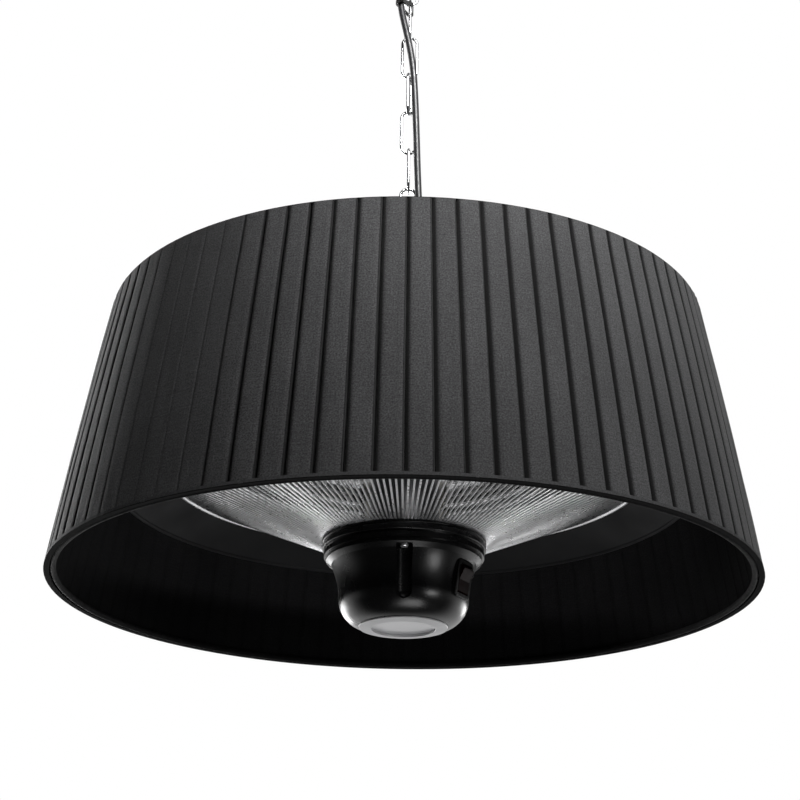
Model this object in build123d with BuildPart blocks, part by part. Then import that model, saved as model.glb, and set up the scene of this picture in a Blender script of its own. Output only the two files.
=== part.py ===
"""Hanging patio heater with a pleated lampshade, as separate pieces.

Millimetres, +Z up. The origin is the centre of the ceiling plate's upper face, at the ceiling,
and everything hangs below it. The pod's front screw channel faces -Y.
"""

import os
from math import atan, atan2, cos, degrees, pi, radians, sin, sqrt, tan

from build123d import *

os.makedirs("parts", exist_ok=True)

# Clearances and cutting
gap = 0.2  # between pieces of one body that sit against each other
thread_gap = 0.1  # between a threaded shank and its hole
pivot_gap = 0.3  # between the rocker's trunnions and their sockets
link_gap = 0.3  # between two chain wires that bear on each other
overrun = 2.0  # how far a cutting tool runs past what it cuts

# Ceiling plate, canopy and hook
plate_radius = 50.0
plate_thickness = 2.5
plate_hole_radius = 2.6
plate_hole_circle_radius = 38.0
plate_hole_count = 4
dimple_mouth_radius = 18.0
dimple_floor_radius = 13.5
dimple_depth = 10.0
canopy_radius = 60.0
canopy_height = 36.0
canopy_wall = 1.2
canopy_edge_radius = 5.0
hook_wire = 6.0
hook_bend = 11.0
hook_shank_bend_degrees = 60
hook_bowl_degrees = 205
hook_drop = 72.4  # from the ceiling to the centre of the wire at the hook's lowest point
hook_nut_flats = 10.0
hook_nut_height = 5.0
canopy_nut_radius = 9.0
canopy_nut_height = 4.0

# Long-link chain
link_wire = 3.0
link_width = 17.0
link_pitch = 41.2
link_turns_degrees = [0, 90, 0, 78, 0, 90, 0, 90, 0]  # each link's turn about the chain

# Cable, its ties and what it goes into at the ceiling
cable_diameter = 6.3
tie_height = 3.6
tie_thickness = 1.2
tie_play = 0.45
tie_head = 5.0
tie_outline_points = 12
grommet_flange_radius = 7.0
grommet_neck_radius = 5.0
grommet_lip = 1.6
supply_block_size = (30.0, 18.0, 14.0)
supply_block_centre = (-34.0, 22.0)

# Eye, stem and nuts that carry the heater
eye_wire = 5.0
eye_bend = 9.5
eye_neck_radius = 6.5
eye_collar_radius = 10.5
eye_collar_height = 5.6
stem_radius = 5.0
stem_bore = 3.2
stem_in_eye = 4.6
stem_below_bracket = 10.0
stem_nut_flats = 17.0
stem_nut_height = 8.0
stem_drop = 41.5  # from the spider's upper face to the top of the housing lid

# Lampshade
shade_bottom_radius = 300.0
shade_top_radius = 261.0
shade_height = 237.0
shade_above_hub = 0.5
pleat_count = 88
pleat_first_degrees = 270
pleat_depth = 1.4
pleat_fold_share = 0.05
cover_thickness = 0.8
lining_thickness = 0.8
binding_width = 3.2
binding_thickness = 0.5
shade_ring_wire = 4.0
shade_foot_wire = 5.0
spider_hub_radius = 22.0
spider_thickness = 2.5
spider_arm_width = 12.0
spider_arm_count = 3
spider_first_arm_degrees = 30

# Top housing, its lid and what they hold
housing_radius = 80.0
housing_height = 53.0
housing_wall = 1.2
housing_foot_width = 6.0
lid_skirt = 10.0
lid_screw_radius = 1.9
lid_screw_head_radius = 3.6
lid_screw_head_height = 2.2
lid_screw_length = 9.0
lid_screw_count = 4
bracket_width = 30.0
bracket_thickness = 3.0
bracket_half_span = 45.0
bracket_foot = 20.0
bracket_bolt_radius = 3.0
bracket_bolt_flats = 10.0
bracket_bolt_head = 4.0
bracket_bolt_spacing = 16.0
terminal_block_size = (44.0, 18.0, 16.0)
terminal_block_centre = (-44.0, 22.0)
cutout_radius = 9.0
cutout_height = 8.0
cutout_centre = (38.0, 34.0)

# Cable gland
gland_centre = (34.0, -16.2)
gland_flats = 19.0
gland_hex_height = 5.0
gland_thread_radius = 6.0
gland_thread_length = 8.0
gland_nut_height = 4.0
gland_dome_radius = 8.4
gland_dome_height = 9.0
gland_taper_length = 16.0
gland_taper_radius = 6.2
gland_tip_radius = 4.4
gland_play = 0.3

# Hood, heights below its crown
hood_drop = 57.5
hood_flange_width = 37.0
hood_shoulder_radius = 212.0
hood_radius = hood_shoulder_radius + hood_flange_width
hood_shoulder_drop = 36.0
hood_middle_radius = 150.0
hood_middle_drop = 8.5
hood_crown_radius = 88.0
hood_sheet = 1.2
hood_roll_radius = 2.2
hood_lead_hole_radius = 5.0

# Reflector and its spacers, heights below the hood's crown
reflector_drop = 11.0
reflector_sheet = 1.0
reflector_hole_radius = 22.0
reflector_flat_radius = 60.0
reflector_middle_drop = 23.0
reflector_lip_drop = 36.5
reflector_inset = 8.0  # from the hood's shoulder in to the reflector's rim
reflector_lip_width = 8.0
reflector_middle_share = 0.8571
reflector_rim_radius = hood_shoulder_radius - reflector_inset
reflector_lip_radius = reflector_rim_radius - reflector_lip_width
reflector_middle_radius = reflector_lip_radius * reflector_middle_share
spacer_radius = 5.0
spacer_inset = 8.0  # from the housing's wall in to the spacers
spacer_circle_radius = housing_radius - spacer_inset
spacer_count = 3
spacer_screw_radius = 1.9
spacer_head_radius = 3.6
spacer_head_height = 2.2
spacer_first_degrees = 270
spacer_nut_flats = 7.0
spacer_nut_height = 3.0
spacer_screw_past_nut = 1.5

# Ring lamp
lamp_drop = 30.0
lamp_ring_radius = 130.0
lamp_tube_radius = 6.0
lamp_tube_wall = 1.2
lamp_gap_degrees = 24.0
filament_radius = 1.6
lamp_cap_radius = 8.5
lamp_cap_over_tube = 12.0
lamp_cap_beyond_tube = 8.0
lamp_post_radius = 3.5
lamp_clip_thickness = 0.8
lamp_clip_width = 6.0
lamp_clip_strap = 4.0
lamp_clip_mouth_share = 0.75
lamp_clip_count = 3
lamp_clip_first_degrees = 210

# Heat guard
guard_drop = 40.0
guard_depth = 61.2
guard_inset = 3.0  # from the hood's shoulder in to the middle of the outer ring
guard_outer_radius = hood_shoulder_radius - guard_inset
guard_outer_wire = 5.0
guard_inner_radius = 69.0
guard_ring_wire = 3.0
guard_support_radius = 157.0
guard_wire = 1.8
guard_wire_count = 144
guard_band = 0.9
guard_clip_count = 4
guard_clip_first_degrees = 0
guard_clip_width = 10.0
guard_clip_sheet = 1.2
guard_clip_reach = 15.0
guard_clip_stud_radius = 2.2
guard_clip_head_radius = 3.6
guard_clip_head_height = 1.8

# Centre column
column_radius = 30.0
column_wall = 1.2
column_step_radius = 38.0
column_step_height = 22.0
column_foot_radius = 37.0

# Pod collar, heights below its upper face
collar_radius = 70.0
collar_plate = 4.0
collar_rim_height = 5.0
collar_groove_radius = 67.0
collar_groove_height = 2.0
collar_skirt_radius = 68.5
collar_height = 11.0
collar_inner_radius = 55.0

# Pod, heights below the collar
pod_flange_radius = 66.5
pod_flange_height = 3.2
pod_shoulder_radius = 62.0
pod_shoulder_drop = 7.0
pod_waist_radius = 55.3
pod_waist_drop = 36.0
pod_mouth_radius = 38.0
pod_height = 59.0
pod_wall = 2.5
pod_mouth_rim = 3.5
channel_radius = 7.0
channel_circle_radius = 62.0
channel_count = 3
channel_first_degrees = 270
channel_wall = 2.5
channel_length = 35.0
channel_lean_degrees = 9
pod_screw_radius = 1.9
pod_screw_circle_radius = 60.5
pod_screw_head_radius = 3.3
pod_screw_head_height = 2.4
pod_screw_length = 10.0

# Bottom ring, lens and lamp board
base_ring_radius = 37.5
base_ring_bore = 27.0
base_ring_plate = 1.0
base_ring_fall = 1.2
base_ring_neck_wall = 2.0
base_ring_neck_height = 8.0
lens_radius = 28.5
lens_thickness = 2.4
board_thickness = 1.6
chip_size = 5.0
chip_height = 1.4
chip_count = 8
chip_circle_radius = 17.0

# Rocker switch, in a plane that lies on the pod's wall
switch_turn_degrees = -30
switch_drop = 25.0
switch_bezel_size = (25.0, 32.0)
switch_bezel_height = 2.0
switch_bezel_corner = 4.0
switch_pad_margin = 1.2
switch_body_size = (22.0, 28.0)
switch_body_depth = 20.0
switch_tab_size = (6.3, 0.8, 8.0)
switch_tab_spacing = 7.0
switch_window_margin = 0.5
switch_pocket_depth = 14.0
rocker_width = 17.0
rocker_swing_radius = 12.6
rocker_pivot_depth = 4.0
rocker_front = 2.4
rocker_front_rise = 2.2
rocker_back = 4.0
rocker_throw_degrees = 20
rocker_trunnion_radius = 1.5
rocker_trunnion_length = 1.2

# Leads inside the heater
lead_radius = 1.6
lead_hole_radius = 2.4
lamp_lead_hole = (24.0, 55.0)
lead_spread = 2.4
mains_core_radius = 2.6

# Routes of the cable's three stretches, from the ceiling down to the gland
upper_route = [(-20, -12, -38), (-18.9, -12, -51), (-14.9, -11.3, -64.7), (-13.4, -11, -78.3)]
middle_route = [
    (-13.33, -10.99, -78.9),
    (-11.9, -11, -92),
    (-9.7, -11.3, -104.7),
    (-9.3, -11.5, -117),
]
lower_route = [
    (-9.28, -11.51, -117.6),
    (-8.2, -11.9, -128),
    (-4.5, -12.5, -146),
    (0.3, -12.4, -169),
    (3.8, -11.7, -193),
    (5.6, -10.9, -224),
    (7.1, -10.3, -260),
    (8.2, -10.0, -295),
    (9.8, -10.2, -333),
    (12.2, -11.0, -370),
    (16.6, -12.4, -405),
    (24.5, -14.4, -437),
    (32.6, -16.0, -458),
    (34, -16.2, -475),
]

# Heights worked out from the ceiling down
dimple_floor_z = -dimple_depth - plate_thickness
hook_low_z = -hook_drop
hook_bowl_z = hook_low_z + hook_bend
hook_shank_end_z = hook_bowl_z + 2 * hook_bend * sin(radians(hook_shank_bend_degrees))
link_bend = (link_width - link_wire) / 2
link_run = link_pitch + link_wire + link_gap  # along the wire's centre, from end to end
link_count = len(link_turns_degrees)
first_link_z = hook_low_z + hook_wire / 2 + link_gap + link_wire / 2
last_link_z = first_link_z - (link_count - 1) * link_pitch - link_run
eye_z = last_link_z + link_wire / 2 + link_gap + eye_wire / 2 - eye_bend
collar_seat_z = eye_z - eye_bend - eye_wire / 2 - eye_collar_height + overrun / 2
hub_top_z = collar_seat_z
shade_top_z = hub_top_z + shade_above_hub
shade_bottom_z = shade_top_z - shade_height
lid_top_z = hub_top_z - stem_drop
crown_z = lid_top_z - housing_height
hood_rim_z = crown_z - hood_drop
lamp_z = crown_z - lamp_drop
guard_top_z = crown_z - guard_drop
guard_bottom_z = guard_top_z - guard_depth
collar_top_z = guard_bottom_z - guard_ring_wire / 2 - gap
collar_bottom_z = collar_top_z - collar_height
pod_top_z = collar_bottom_z - gap
pod_bottom_z = pod_top_z - pod_height
bracket_top_z = lid_top_z - housing_wall - gap
stem_bottom_z = bracket_top_z - bracket_thickness - stem_below_bracket

UP = (Align.CENTER, Align.CENTER, Align.MIN)
DOWN = (Align.CENTER, Align.CENTER, Align.MAX)


def save(piece, label):
    """Labels a finished piece and writes its file."""
    piece.part.label = label
    export_step(piece.part, f"parts/{label}.step")


def turned(*points, mode=Mode.ADD):
    """A ring or cup turned about the vertical axis from (radius, height) points."""
    with BuildSketch(Plane.XZ) as profile:
        with BuildLine():
            Polyline(*points, close=True)
        make_face()
    revolve(profile.sketch, axis=Axis.Z, mode=mode)


def wire_ring(radius, z, wire):
    """A closed ring of round wire, level, about the vertical axis."""
    with Locations((0, 0, z)):
        Torus(radius, wire / 2)


def hexagon_nut(x, y, z_low, height, flats, bore):
    """An upright nut, standing on z_low."""
    with BuildSketch(Plane.XY.offset(z_low)) as outline:
        with Locations((x, y)):
            RegularPolygon(flats / 2, 6, major_radius=False)
            Circle(bore, mode=Mode.SUBTRACT)
    extrude(outline.sketch, amount=height)


def polar(radius, angle_degrees):
    """The plan position at a radius and an angle."""
    return radius * cos(radians(angle_degrees)), radius * sin(radians(angle_degrees))


def radial_plane(angle_degrees, z=0):
    """The upright plane through the vertical axis whose local X points outwards at an angle."""
    out = radians(angle_degrees)
    return Plane(
        origin=(0, 0, z), x_dir=(cos(out), sin(out), 0), z_dir=(sin(out), -cos(out), 0)
    )


def corner_radii(points):
    """The largest tangent arcs that a route's runs allow, one for each corner."""
    spots = [Vector(*p) for p in points]
    radii = []
    for before, here, after in zip(spots, spots[1:], spots[2:]):
        run_in, run_out = here - before, after - here
        half_turn = radians(run_in.get_angle(run_out)) / 2
        radii.append(0.45 * min(run_in.length, run_out.length) / tan(half_turn))
    return radii


def tube(points, radius, mode=Mode.ADD):
    """A round tube along straight runs that tangent arcs join."""
    with BuildLine() as route:
        FilletPolyline(*points, radius=corner_radii(points))
    with BuildSketch(Plane(origin=route.line @ 0, z_dir=route.line % 0)) as section:
        Circle(radius)
    sweep(section.sketch, path=route.line, mode=mode)
    return sum(edge.length for edge in route.line.edges())


def arc_tube(radius, z, from_degrees, span_degrees, tube_radius, mode=Mode.ADD):
    """A round tube along a level arc about the vertical axis."""
    with BuildLine(Plane.XY.offset(z)) as path:
        CenterArc((0, 0), radius, from_degrees, span_degrees)
    with BuildSketch(Plane(origin=path.line @ 0, z_dir=path.line % 0)) as section:
        Circle(tube_radius)
    sweep(section.sketch, path=path.line, mode=mode)


# Ceiling plate: a disc pressed down at its middle to hold the hook's nut
with BuildPart() as ceiling_plate:
    turned(
        (plate_radius, 0),
        (dimple_mouth_radius, 0),
        (dimple_floor_radius, -dimple_depth),
        (hook_wire / 2 + thread_gap, -dimple_depth),
        (hook_wire / 2 + thread_gap, dimple_floor_z),
        (dimple_floor_radius + plate_thickness / 2, dimple_floor_z),
        (dimple_mouth_radius + plate_thickness / 2, -plate_thickness),
        (plate_radius, -plate_thickness),
    )
    with BuildSketch(Plane.XY):
        with PolarLocations(plate_hole_circle_radius, plate_hole_count):
            Circle(plate_hole_radius)
    extrude(amount=-plate_thickness, mode=Mode.SUBTRACT)
save(ceiling_plate, "ceiling_plate")

# Canopy: a shallow cup that covers the plate and rests against the ceiling
cable_exit = upper_route[0]
canopy_floor_z = -canopy_height
with BuildPart() as ceiling_canopy:
    with Locations((0, 0, canopy_floor_z)):
        Cylinder(canopy_radius, canopy_height, align=UP)
    fillet(ceiling_canopy.edges().group_by(Axis.Z)[0], canopy_edge_radius)
    with Locations((0, 0, canopy_floor_z + canopy_wall)):
        Cylinder(canopy_radius - canopy_wall, canopy_height, align=UP, mode=Mode.SUBTRACT)
    with BuildSketch(Plane.XY.offset(canopy_floor_z)):
        Circle(hook_wire / 2 + gap)
        with Locations(cable_exit[:2]):
            Circle(grommet_neck_radius + gap)
    extrude(amount=canopy_wall, mode=Mode.SUBTRACT)
save(ceiling_canopy, "ceiling_canopy")

# Hook: a round bar whose bowl hangs on the vertical axis
with BuildPart() as ceiling_hook:
    with BuildLine(Plane.YZ) as hook_path:
        shank = Line((0, -dimple_depth + hook_nut_height + overrun / 2), (0, hook_shank_end_z))
        out_bend = JernArc(shank @ 1, shank % 1, hook_bend, hook_shank_bend_degrees)
        back_bend = JernArc(out_bend @ 1, out_bend % 1, hook_bend, -hook_shank_bend_degrees)
        JernArc(back_bend @ 1, back_bend % 1, hook_bend, -hook_bowl_degrees)
    with BuildSketch(Plane(origin=hook_path.line @ 0, z_dir=hook_path.line % 0)):
        Circle(hook_wire / 2)
    sweep(path=hook_path.line)
    chamfer(ceiling_hook.faces().sort_by(Axis.Z)[-1].edges(), link_gap)
save(ceiling_hook, "ceiling_hook")

# Hook nut in the dimple, and the round nut that holds the canopy up
with BuildPart() as hook_nuts:
    hexagon_nut(0, 0, -dimple_depth, hook_nut_height, hook_nut_flats, hook_wire / 2 + thread_gap)
    with BuildSketch(Plane.XY.offset(canopy_floor_z - gap)):
        Circle(canopy_nut_radius)
        Circle(hook_wire / 2 + thread_gap, mode=Mode.SUBTRACT)
    extrude(amount=-canopy_nut_height)
save(hook_nuts, "hook_nuts")

# Grommet in the canopy's floor
cable_radius = cable_diameter / 2
with BuildPart() as cable_grommet:
    with BuildSketch(Plane.XY.offset(canopy_floor_z + canopy_wall + gap)):
        with Locations(cable_exit[:2]):
            Circle(grommet_flange_radius)
    extrude(amount=grommet_lip)
    with BuildSketch(Plane.XY.offset(canopy_floor_z - gap)):
        with Locations(cable_exit[:2]):
            Circle(grommet_flange_radius)
    extrude(amount=-grommet_lip)
    with BuildSketch(Plane.XY.offset(canopy_floor_z - gap)):
        with Locations(cable_exit[:2]):
            Circle(grommet_neck_radius)
    extrude(amount=canopy_wall + 2 * gap)
    with BuildSketch(Plane.XY.offset(canopy_floor_z - grommet_lip - overrun)):
        with Locations(cable_exit[:2]):
            Circle(cable_radius + gap)
    extrude(amount=canopy_wall + 2 * grommet_lip + 2 * overrun, mode=Mode.SUBTRACT)
save(cable_grommet, "cable_grommet")

# Supply terminal block under the plate, and the short lead that reaches it from the grommet
supply_length, supply_width, supply_height = supply_block_size
supply_x, supply_y = supply_block_centre
supply_top_z = -plate_thickness - gap
with BuildPart() as supply_terminal:
    with Locations((supply_x, supply_y, supply_top_z)):
        Box(supply_length, supply_width, supply_height, align=DOWN)
    with Locations((supply_x, supply_y, supply_top_z - supply_height)):
        with GridLocations(supply_length / 3, supply_width / 2, 3, 2):
            Cylinder(supply_width / 8, supply_height / 4, align=UP, mode=Mode.SUBTRACT)
save(supply_terminal, "supply_terminal")

exit_x, exit_y, exit_z = cable_exit
lead_end_y = supply_y - supply_width / 2 - gap
lead_rise_z = supply_top_z - supply_height / 2
with BuildPart() as supply_lead:
    tube(
        [
            (exit_x, exit_y, exit_z + 3 * gap),
            (exit_x, exit_y, (exit_z + lead_rise_z) / 2),
            (exit_x, (exit_y + lead_end_y) / 2, lead_rise_z),
            (exit_x, lead_end_y, lead_rise_z),
        ],
        cable_radius,
    )
save(supply_lead, "supply_lead")

# Chain: round wire links, each a quarter turn from the last
for number, turn_degrees in enumerate(link_turns_degrees):
    link_top_z = first_link_z - number * link_pitch
    turn = radians(turn_degrees)
    link_plane = Plane(
        origin=(0, 0, link_top_z - link_run / 2),
        x_dir=(cos(turn), sin(turn), 0),
        z_dir=(sin(turn), -cos(turn), 0),
    )
    half_leg = link_run / 2 - link_bend
    with BuildPart() as chain_link:
        with BuildLine(link_plane) as link_path:
            Line((link_bend, -half_leg), (link_bend, half_leg))
            ThreePointArc((link_bend, half_leg), (0, link_run / 2), (-link_bend, half_leg))
            Line((-link_bend, half_leg), (-link_bend, -half_leg))
            ThreePointArc((-link_bend, -half_leg), (0, -link_run / 2), (link_bend, -half_leg))
        with BuildSketch(Plane(origin=link_path.line @ 0, z_dir=link_path.line % 0)):
            Circle(link_wire / 2)
        sweep(path=link_path.line)
    save(chain_link, f"chain_link_{number + 1}")


def cable_tie(label, tie_point, turn_degrees):
    """A strap round the cable and both legs of the link beside it, with its locking head."""
    x, y, z = tie_point
    spots = [polar(link_bend, turn_degrees), polar(-link_bend, turn_degrees)]
    for step in range(tie_outline_points):
        dx, dy = polar(cable_radius - link_wire / 2, 360 / tie_outline_points * step)
        spots.append((x + dx, y + dy))
    with BuildSketch(Plane.XY.offset(z - tie_height / 2)) as inside:
        with BuildLine():
            Polyline(*spots, close=True)
        make_hull()
        offset(amount=link_wire / 2 + tie_play)
    with BuildPart() as tie:
        with BuildSketch(Plane.XY.offset(z - tie_height / 2)):
            add(inside.sketch)
            offset(amount=tie_thickness)
            add(inside.sketch, mode=Mode.SUBTRACT)
        extrude(amount=tie_height)
        head_y = y - cable_radius - tie_play - tie_thickness - tie_head / 3
        with Locations((x, head_y, z)):
            Box(tie_head, tie_head, tie_head)
        with Locations((x, y, z)):
            Cylinder(cable_radius + tie_play, tie_head, mode=Mode.SUBTRACT)
    save(tie, label)


cable_tie("cable_tie_upper", upper_route[-1], link_turns_degrees[0])
cable_tie("cable_tie_lower", middle_route[-1], link_turns_degrees[1])

# Cable: one real cable, in three stretches that meet at its ties
for label, route_points in {
    "cable_upper": upper_route,
    "cable_middle": middle_route,
    "cable_lower": lower_route,
}.items():
    with BuildPart() as cable:
        length = tube(route_points, cable_radius)
    radii = ", ".join(f"{radius:.0f}" for radius in corner_radii(route_points))
    volume_share = cable.part.volume / (length * pi * cable_radius**2)
    print(f"{label}: length {length:.1f}, radii {radii}, volume share {volume_share:.4f}")
    save(cable, label)

# Eye on the stem: a ring in the YZ plane on a round collar
with BuildPart() as hanging_eye:
    with BuildSketch(Plane.YZ):
        with Locations((0, eye_z)):
            Circle(eye_bend + eye_wire / 2)
            Circle(eye_bend - eye_wire / 2, mode=Mode.SUBTRACT)
    extrude(amount=eye_wire / 2, both=True)
    fillet(hanging_eye.edges().filter_by(GeomType.CIRCLE), eye_wire / 2 - link_gap)
    with Locations((0, 0, collar_seat_z)):
        Cylinder(eye_collar_radius, eye_collar_height, align=UP)
        Cylinder(stem_radius + thread_gap, stem_in_eye, align=UP, mode=Mode.SUBTRACT)
    fillet(
        hanging_eye.edges()
        .filter_by(GeomType.CIRCLE)
        .filter_by(lambda e: abs(e.radius - eye_collar_radius) < link_gap)
        .group_by(Axis.Z)[-1],
        link_gap * 3,
    )
save(hanging_eye, "hanging_eye")

# Stem: a threaded tube from the eye down into the housing
stem_top_z = collar_seat_z + stem_in_eye - gap
with BuildPart() as hanger_stem:
    with Locations((0, 0, stem_bottom_z)):
        Cylinder(stem_radius, stem_top_z - stem_bottom_z, align=UP)
        Cylinder(stem_bore, stem_top_z - stem_bottom_z, align=UP, mode=Mode.SUBTRACT)
save(hanger_stem, "hanger_stem")

# Nuts on the stem: under the spider's hub, on the lid and under the bracket
hub_bottom_z = hub_top_z - spider_thickness
with BuildPart() as stem_nuts:
    for nut_z in (
        hub_bottom_z - gap - stem_nut_height,
        lid_top_z + gap,
        bracket_top_z - bracket_thickness - gap - stem_nut_height,
    ):
        hexagon_nut(0, 0, nut_z, stem_nut_height, stem_nut_flats, stem_radius + thread_gap)
save(stem_nuts, "stem_nuts")

# Lampshade: pleated cover, stiff lining, wire rings, binding tapes and the spider
shade_slope = (shade_bottom_radius - shade_top_radius) / shade_height
cover_bottom_z = shade_bottom_z + binding_thickness + gap
cover_top_z = shade_top_z - binding_thickness - gap


def shade_radius(z):
    """The cover's outer radius at a height."""
    return shade_top_radius + (shade_top_z - z) * shade_slope


def cone_band(z_low, z_high, outer_inset, thickness):
    """A conical sheet inside the cover's outer surface."""
    low, high = shade_radius(z_low) - outer_inset, shade_radius(z_high) - outer_inset
    turned((low, z_low), (high, z_high), (high - thickness, z_high), (low - thickness, z_low))


def pleat_outline(radius):
    """Knife pleats: each runs in from its fold, then steps out again to the next fold."""
    points = []
    pitch = 360 / pleat_count
    for pleat in range(pleat_count):
        fold = pleat_first_degrees + pitch * pleat
        points.append(polar(radius, fold))
        points.append(polar(radius * pleat_share, fold + pitch * (1 - pleat_fold_share)))
    return points


def pleated_cone(z_low, z_high, thickness_share, mode=Mode.ADD):
    """A pleated cone between two heights; the share is 1 for the cover's outer surface."""
    sections = []
    for z in (z_low, z_high):
        with BuildSketch(Plane.XY.offset(z)) as section:
            Polygon(*pleat_outline(shade_radius(z) * thickness_share), align=None)
        sections.append(section.sketch)
    loft(sections, ruled=True, mode=mode)


cover_inset = pleat_depth + cover_thickness
pleat_share = 1 - pleat_depth / shade_bottom_radius
cover_wall_share = 1 - cover_thickness / shade_bottom_radius
with BuildPart() as shade_cover:
    pleated_cone(cover_bottom_z, cover_top_z, 1)
    pleated_cone(
        cover_bottom_z - overrun, cover_top_z + overrun, cover_wall_share, mode=Mode.SUBTRACT
    )
save(shade_cover, "shade_cover")

lining_inset = cover_inset + gap
with BuildPart() as shade_lining:
    cone_band(cover_bottom_z, cover_top_z, lining_inset, lining_thickness)
save(shade_lining, "shade_lining")

binding_inset = lining_inset + lining_thickness


def binding(z_edge, towards, outer_leg):
    """A tape folded over an edge of the shade: towards is 1 above the lower edge, -1 under the upper."""
    tape, far = binding_thickness, towards * binding_width
    outer = -tape - gap
    inner = binding_inset + gap
    corners = [
        (inner, towards * tape),
        (inner, far),
        (inner + tape, far),
        (inner + tape, 0),
    ]
    if outer_leg:
        corners += [(outer, 0), (outer, far), (outer + tape, far), (outer + tape, towards * tape)]
    else:
        corners += [(0, 0), (0, towards * tape)]
    turned(*[(shade_radius(z_edge + rise) - inset, z_edge + rise) for inset, rise in corners])


with BuildPart() as shade_top_binding:
    binding(shade_top_z, -1, outer_leg=False)
save(shade_top_binding, "shade_top_binding")
with BuildPart() as shade_bottom_binding:
    binding(shade_bottom_z, 1, outer_leg=True)
save(shade_bottom_binding, "shade_bottom_binding")

ring_inset = binding_inset + gap + binding_thickness + gap + shade_ring_wire / 2
top_ring_z = hub_top_z - spider_thickness / 2 - gap
top_ring_radius = shade_radius(top_ring_z) - ring_inset
with BuildPart() as shade_top_ring:
    wire_ring(top_ring_radius, top_ring_z - shade_ring_wire / 4, shade_ring_wire)
save(shade_top_ring, "shade_top_ring")

bottom_ring_z = shade_bottom_z + shade_foot_wire / 2
bottom_ring_inset = ring_inset + (shade_foot_wire - shade_ring_wire) / 2
with BuildPart() as shade_bottom_ring:
    wire_ring(shade_radius(bottom_ring_z) - bottom_ring_inset, bottom_ring_z, shade_foot_wire)
save(shade_bottom_ring, "shade_bottom_ring")

spider_reach = top_ring_radius - shade_ring_wire / 2 - gap
with BuildPart() as shade_spider:
    with BuildSketch(Plane.XY.offset(hub_bottom_z)):
        Circle(spider_hub_radius)
        with PolarLocations(0, spider_arm_count, spider_first_arm_degrees):
            Rectangle(spider_reach, spider_arm_width, align=(Align.MIN, Align.CENTER))
        Circle(stem_radius + gap, mode=Mode.SUBTRACT)
    extrude(amount=spider_thickness)
save(shade_spider, "shade_spider")

# Top housing: lid with a skirt, drum wall and the screws between them
wall_top_z = lid_top_z - housing_wall - gap
foot_z = crown_z + gap
with BuildPart() as top_housing:
    turned(
        (housing_radius, wall_top_z),
        (housing_radius, foot_z + housing_wall),
        (housing_radius + housing_foot_width, foot_z + housing_wall),
        (housing_radius + housing_foot_width, foot_z),
        (housing_radius - housing_wall, foot_z),
        (housing_radius - housing_wall, wall_top_z),
    )
    lid_screw_z = lid_top_z - lid_skirt * 0.6
    for index in range(lid_screw_count):
        with Locations(radial_plane(45 + 360 / lid_screw_count * index, lid_screw_z).location):
            with Locations((housing_radius, 0, 0)):
                Cylinder(
                    lid_screw_radius + thread_gap,
                    lid_screw_length,
                    rotation=(0, 90, 0),
                    mode=Mode.SUBTRACT,
                )
save(top_housing, "top_housing")

skirt_radius = housing_radius + gap + housing_wall
gland_x, gland_y = gland_centre
with BuildPart() as housing_lid:
    turned(
        (stem_radius + gap, lid_top_z),
        (skirt_radius, lid_top_z),
        (skirt_radius, lid_top_z - lid_skirt),
        (skirt_radius - housing_wall, lid_top_z - lid_skirt),
        (skirt_radius - housing_wall, lid_top_z - housing_wall),
        (stem_radius + gap, lid_top_z - housing_wall),
    )
    with Locations((gland_x, gland_y, lid_top_z)):
        Cylinder(gland_thread_radius + gap, 2 * housing_wall + overrun, mode=Mode.SUBTRACT)
    for index in range(lid_screw_count):
        with Locations(radial_plane(45 + 360 / lid_screw_count * index, lid_screw_z).location):
            with Locations((skirt_radius, 0, 0)):
                Cylinder(
                    lid_screw_radius + thread_gap,
                    lid_screw_length,
                    rotation=(0, 90, 0),
                    mode=Mode.SUBTRACT,
                )
save(housing_lid, "housing_lid")

with BuildPart() as lid_screws:
    for index in range(lid_screw_count):
        with BuildSketch(radial_plane(45 + 360 / lid_screw_count * index, lid_screw_z)) as half:
            with BuildLine():
                Polyline(
                    (skirt_radius + gap - lid_screw_length, 0),
                    (skirt_radius + gap - lid_screw_length, lid_screw_radius),
                    (skirt_radius + gap, lid_screw_radius),
                    (skirt_radius + gap, lid_screw_head_radius),
                    (skirt_radius + gap + lid_screw_head_height, lid_screw_head_radius * 0.6),
                    (skirt_radius + gap + lid_screw_head_height, 0),
                    close=True,
                )
            make_face()
        angle = 45 + 360 / lid_screw_count * index
        screw_axis = Axis((0, 0, lid_screw_z), (cos(radians(angle)), sin(radians(angle)), 0))
        revolve(axis=screw_axis)
save(lid_screws, "lid_screws")

# Hanger bracket: a bridge inside the housing that carries the hood on the stem
leg_outer = bracket_half_span + bracket_thickness
foot_end = leg_outer + bracket_foot
bracket_foot_z = crown_z + gap
bolt_y = leg_outer + bracket_foot / 2
with BuildPart() as hanger_bracket:
    with BuildSketch(Plane.YZ):
        for side in (1, -1):
            with BuildLine():
                Polyline(
                    (0, bracket_top_z),
                    (side * leg_outer, bracket_top_z),
                    (side * leg_outer, bracket_foot_z + bracket_thickness),
                    (side * foot_end, bracket_foot_z + bracket_thickness),
                    (side * foot_end, bracket_foot_z),
                    (side * bracket_half_span, bracket_foot_z),
                    (side * bracket_half_span, bracket_top_z - bracket_thickness),
                    (0, bracket_top_z - bracket_thickness),
                    close=True,
                )
            make_face()
    extrude(amount=bracket_width / 2, both=True)
    with Locations((0, 0, bracket_top_z)):
        Cylinder(stem_radius + gap, 2 * bracket_thickness + overrun, mode=Mode.SUBTRACT)
    with Locations((0, 0, bracket_foot_z)):
        with GridLocations(bracket_bolt_spacing, 2 * bolt_y, 2, 2):
            Cylinder(
                bracket_bolt_radius + thread_gap,
                2 * bracket_thickness + overrun,
                mode=Mode.SUBTRACT,
            )
save(hanger_bracket, "hanger_bracket")

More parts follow.
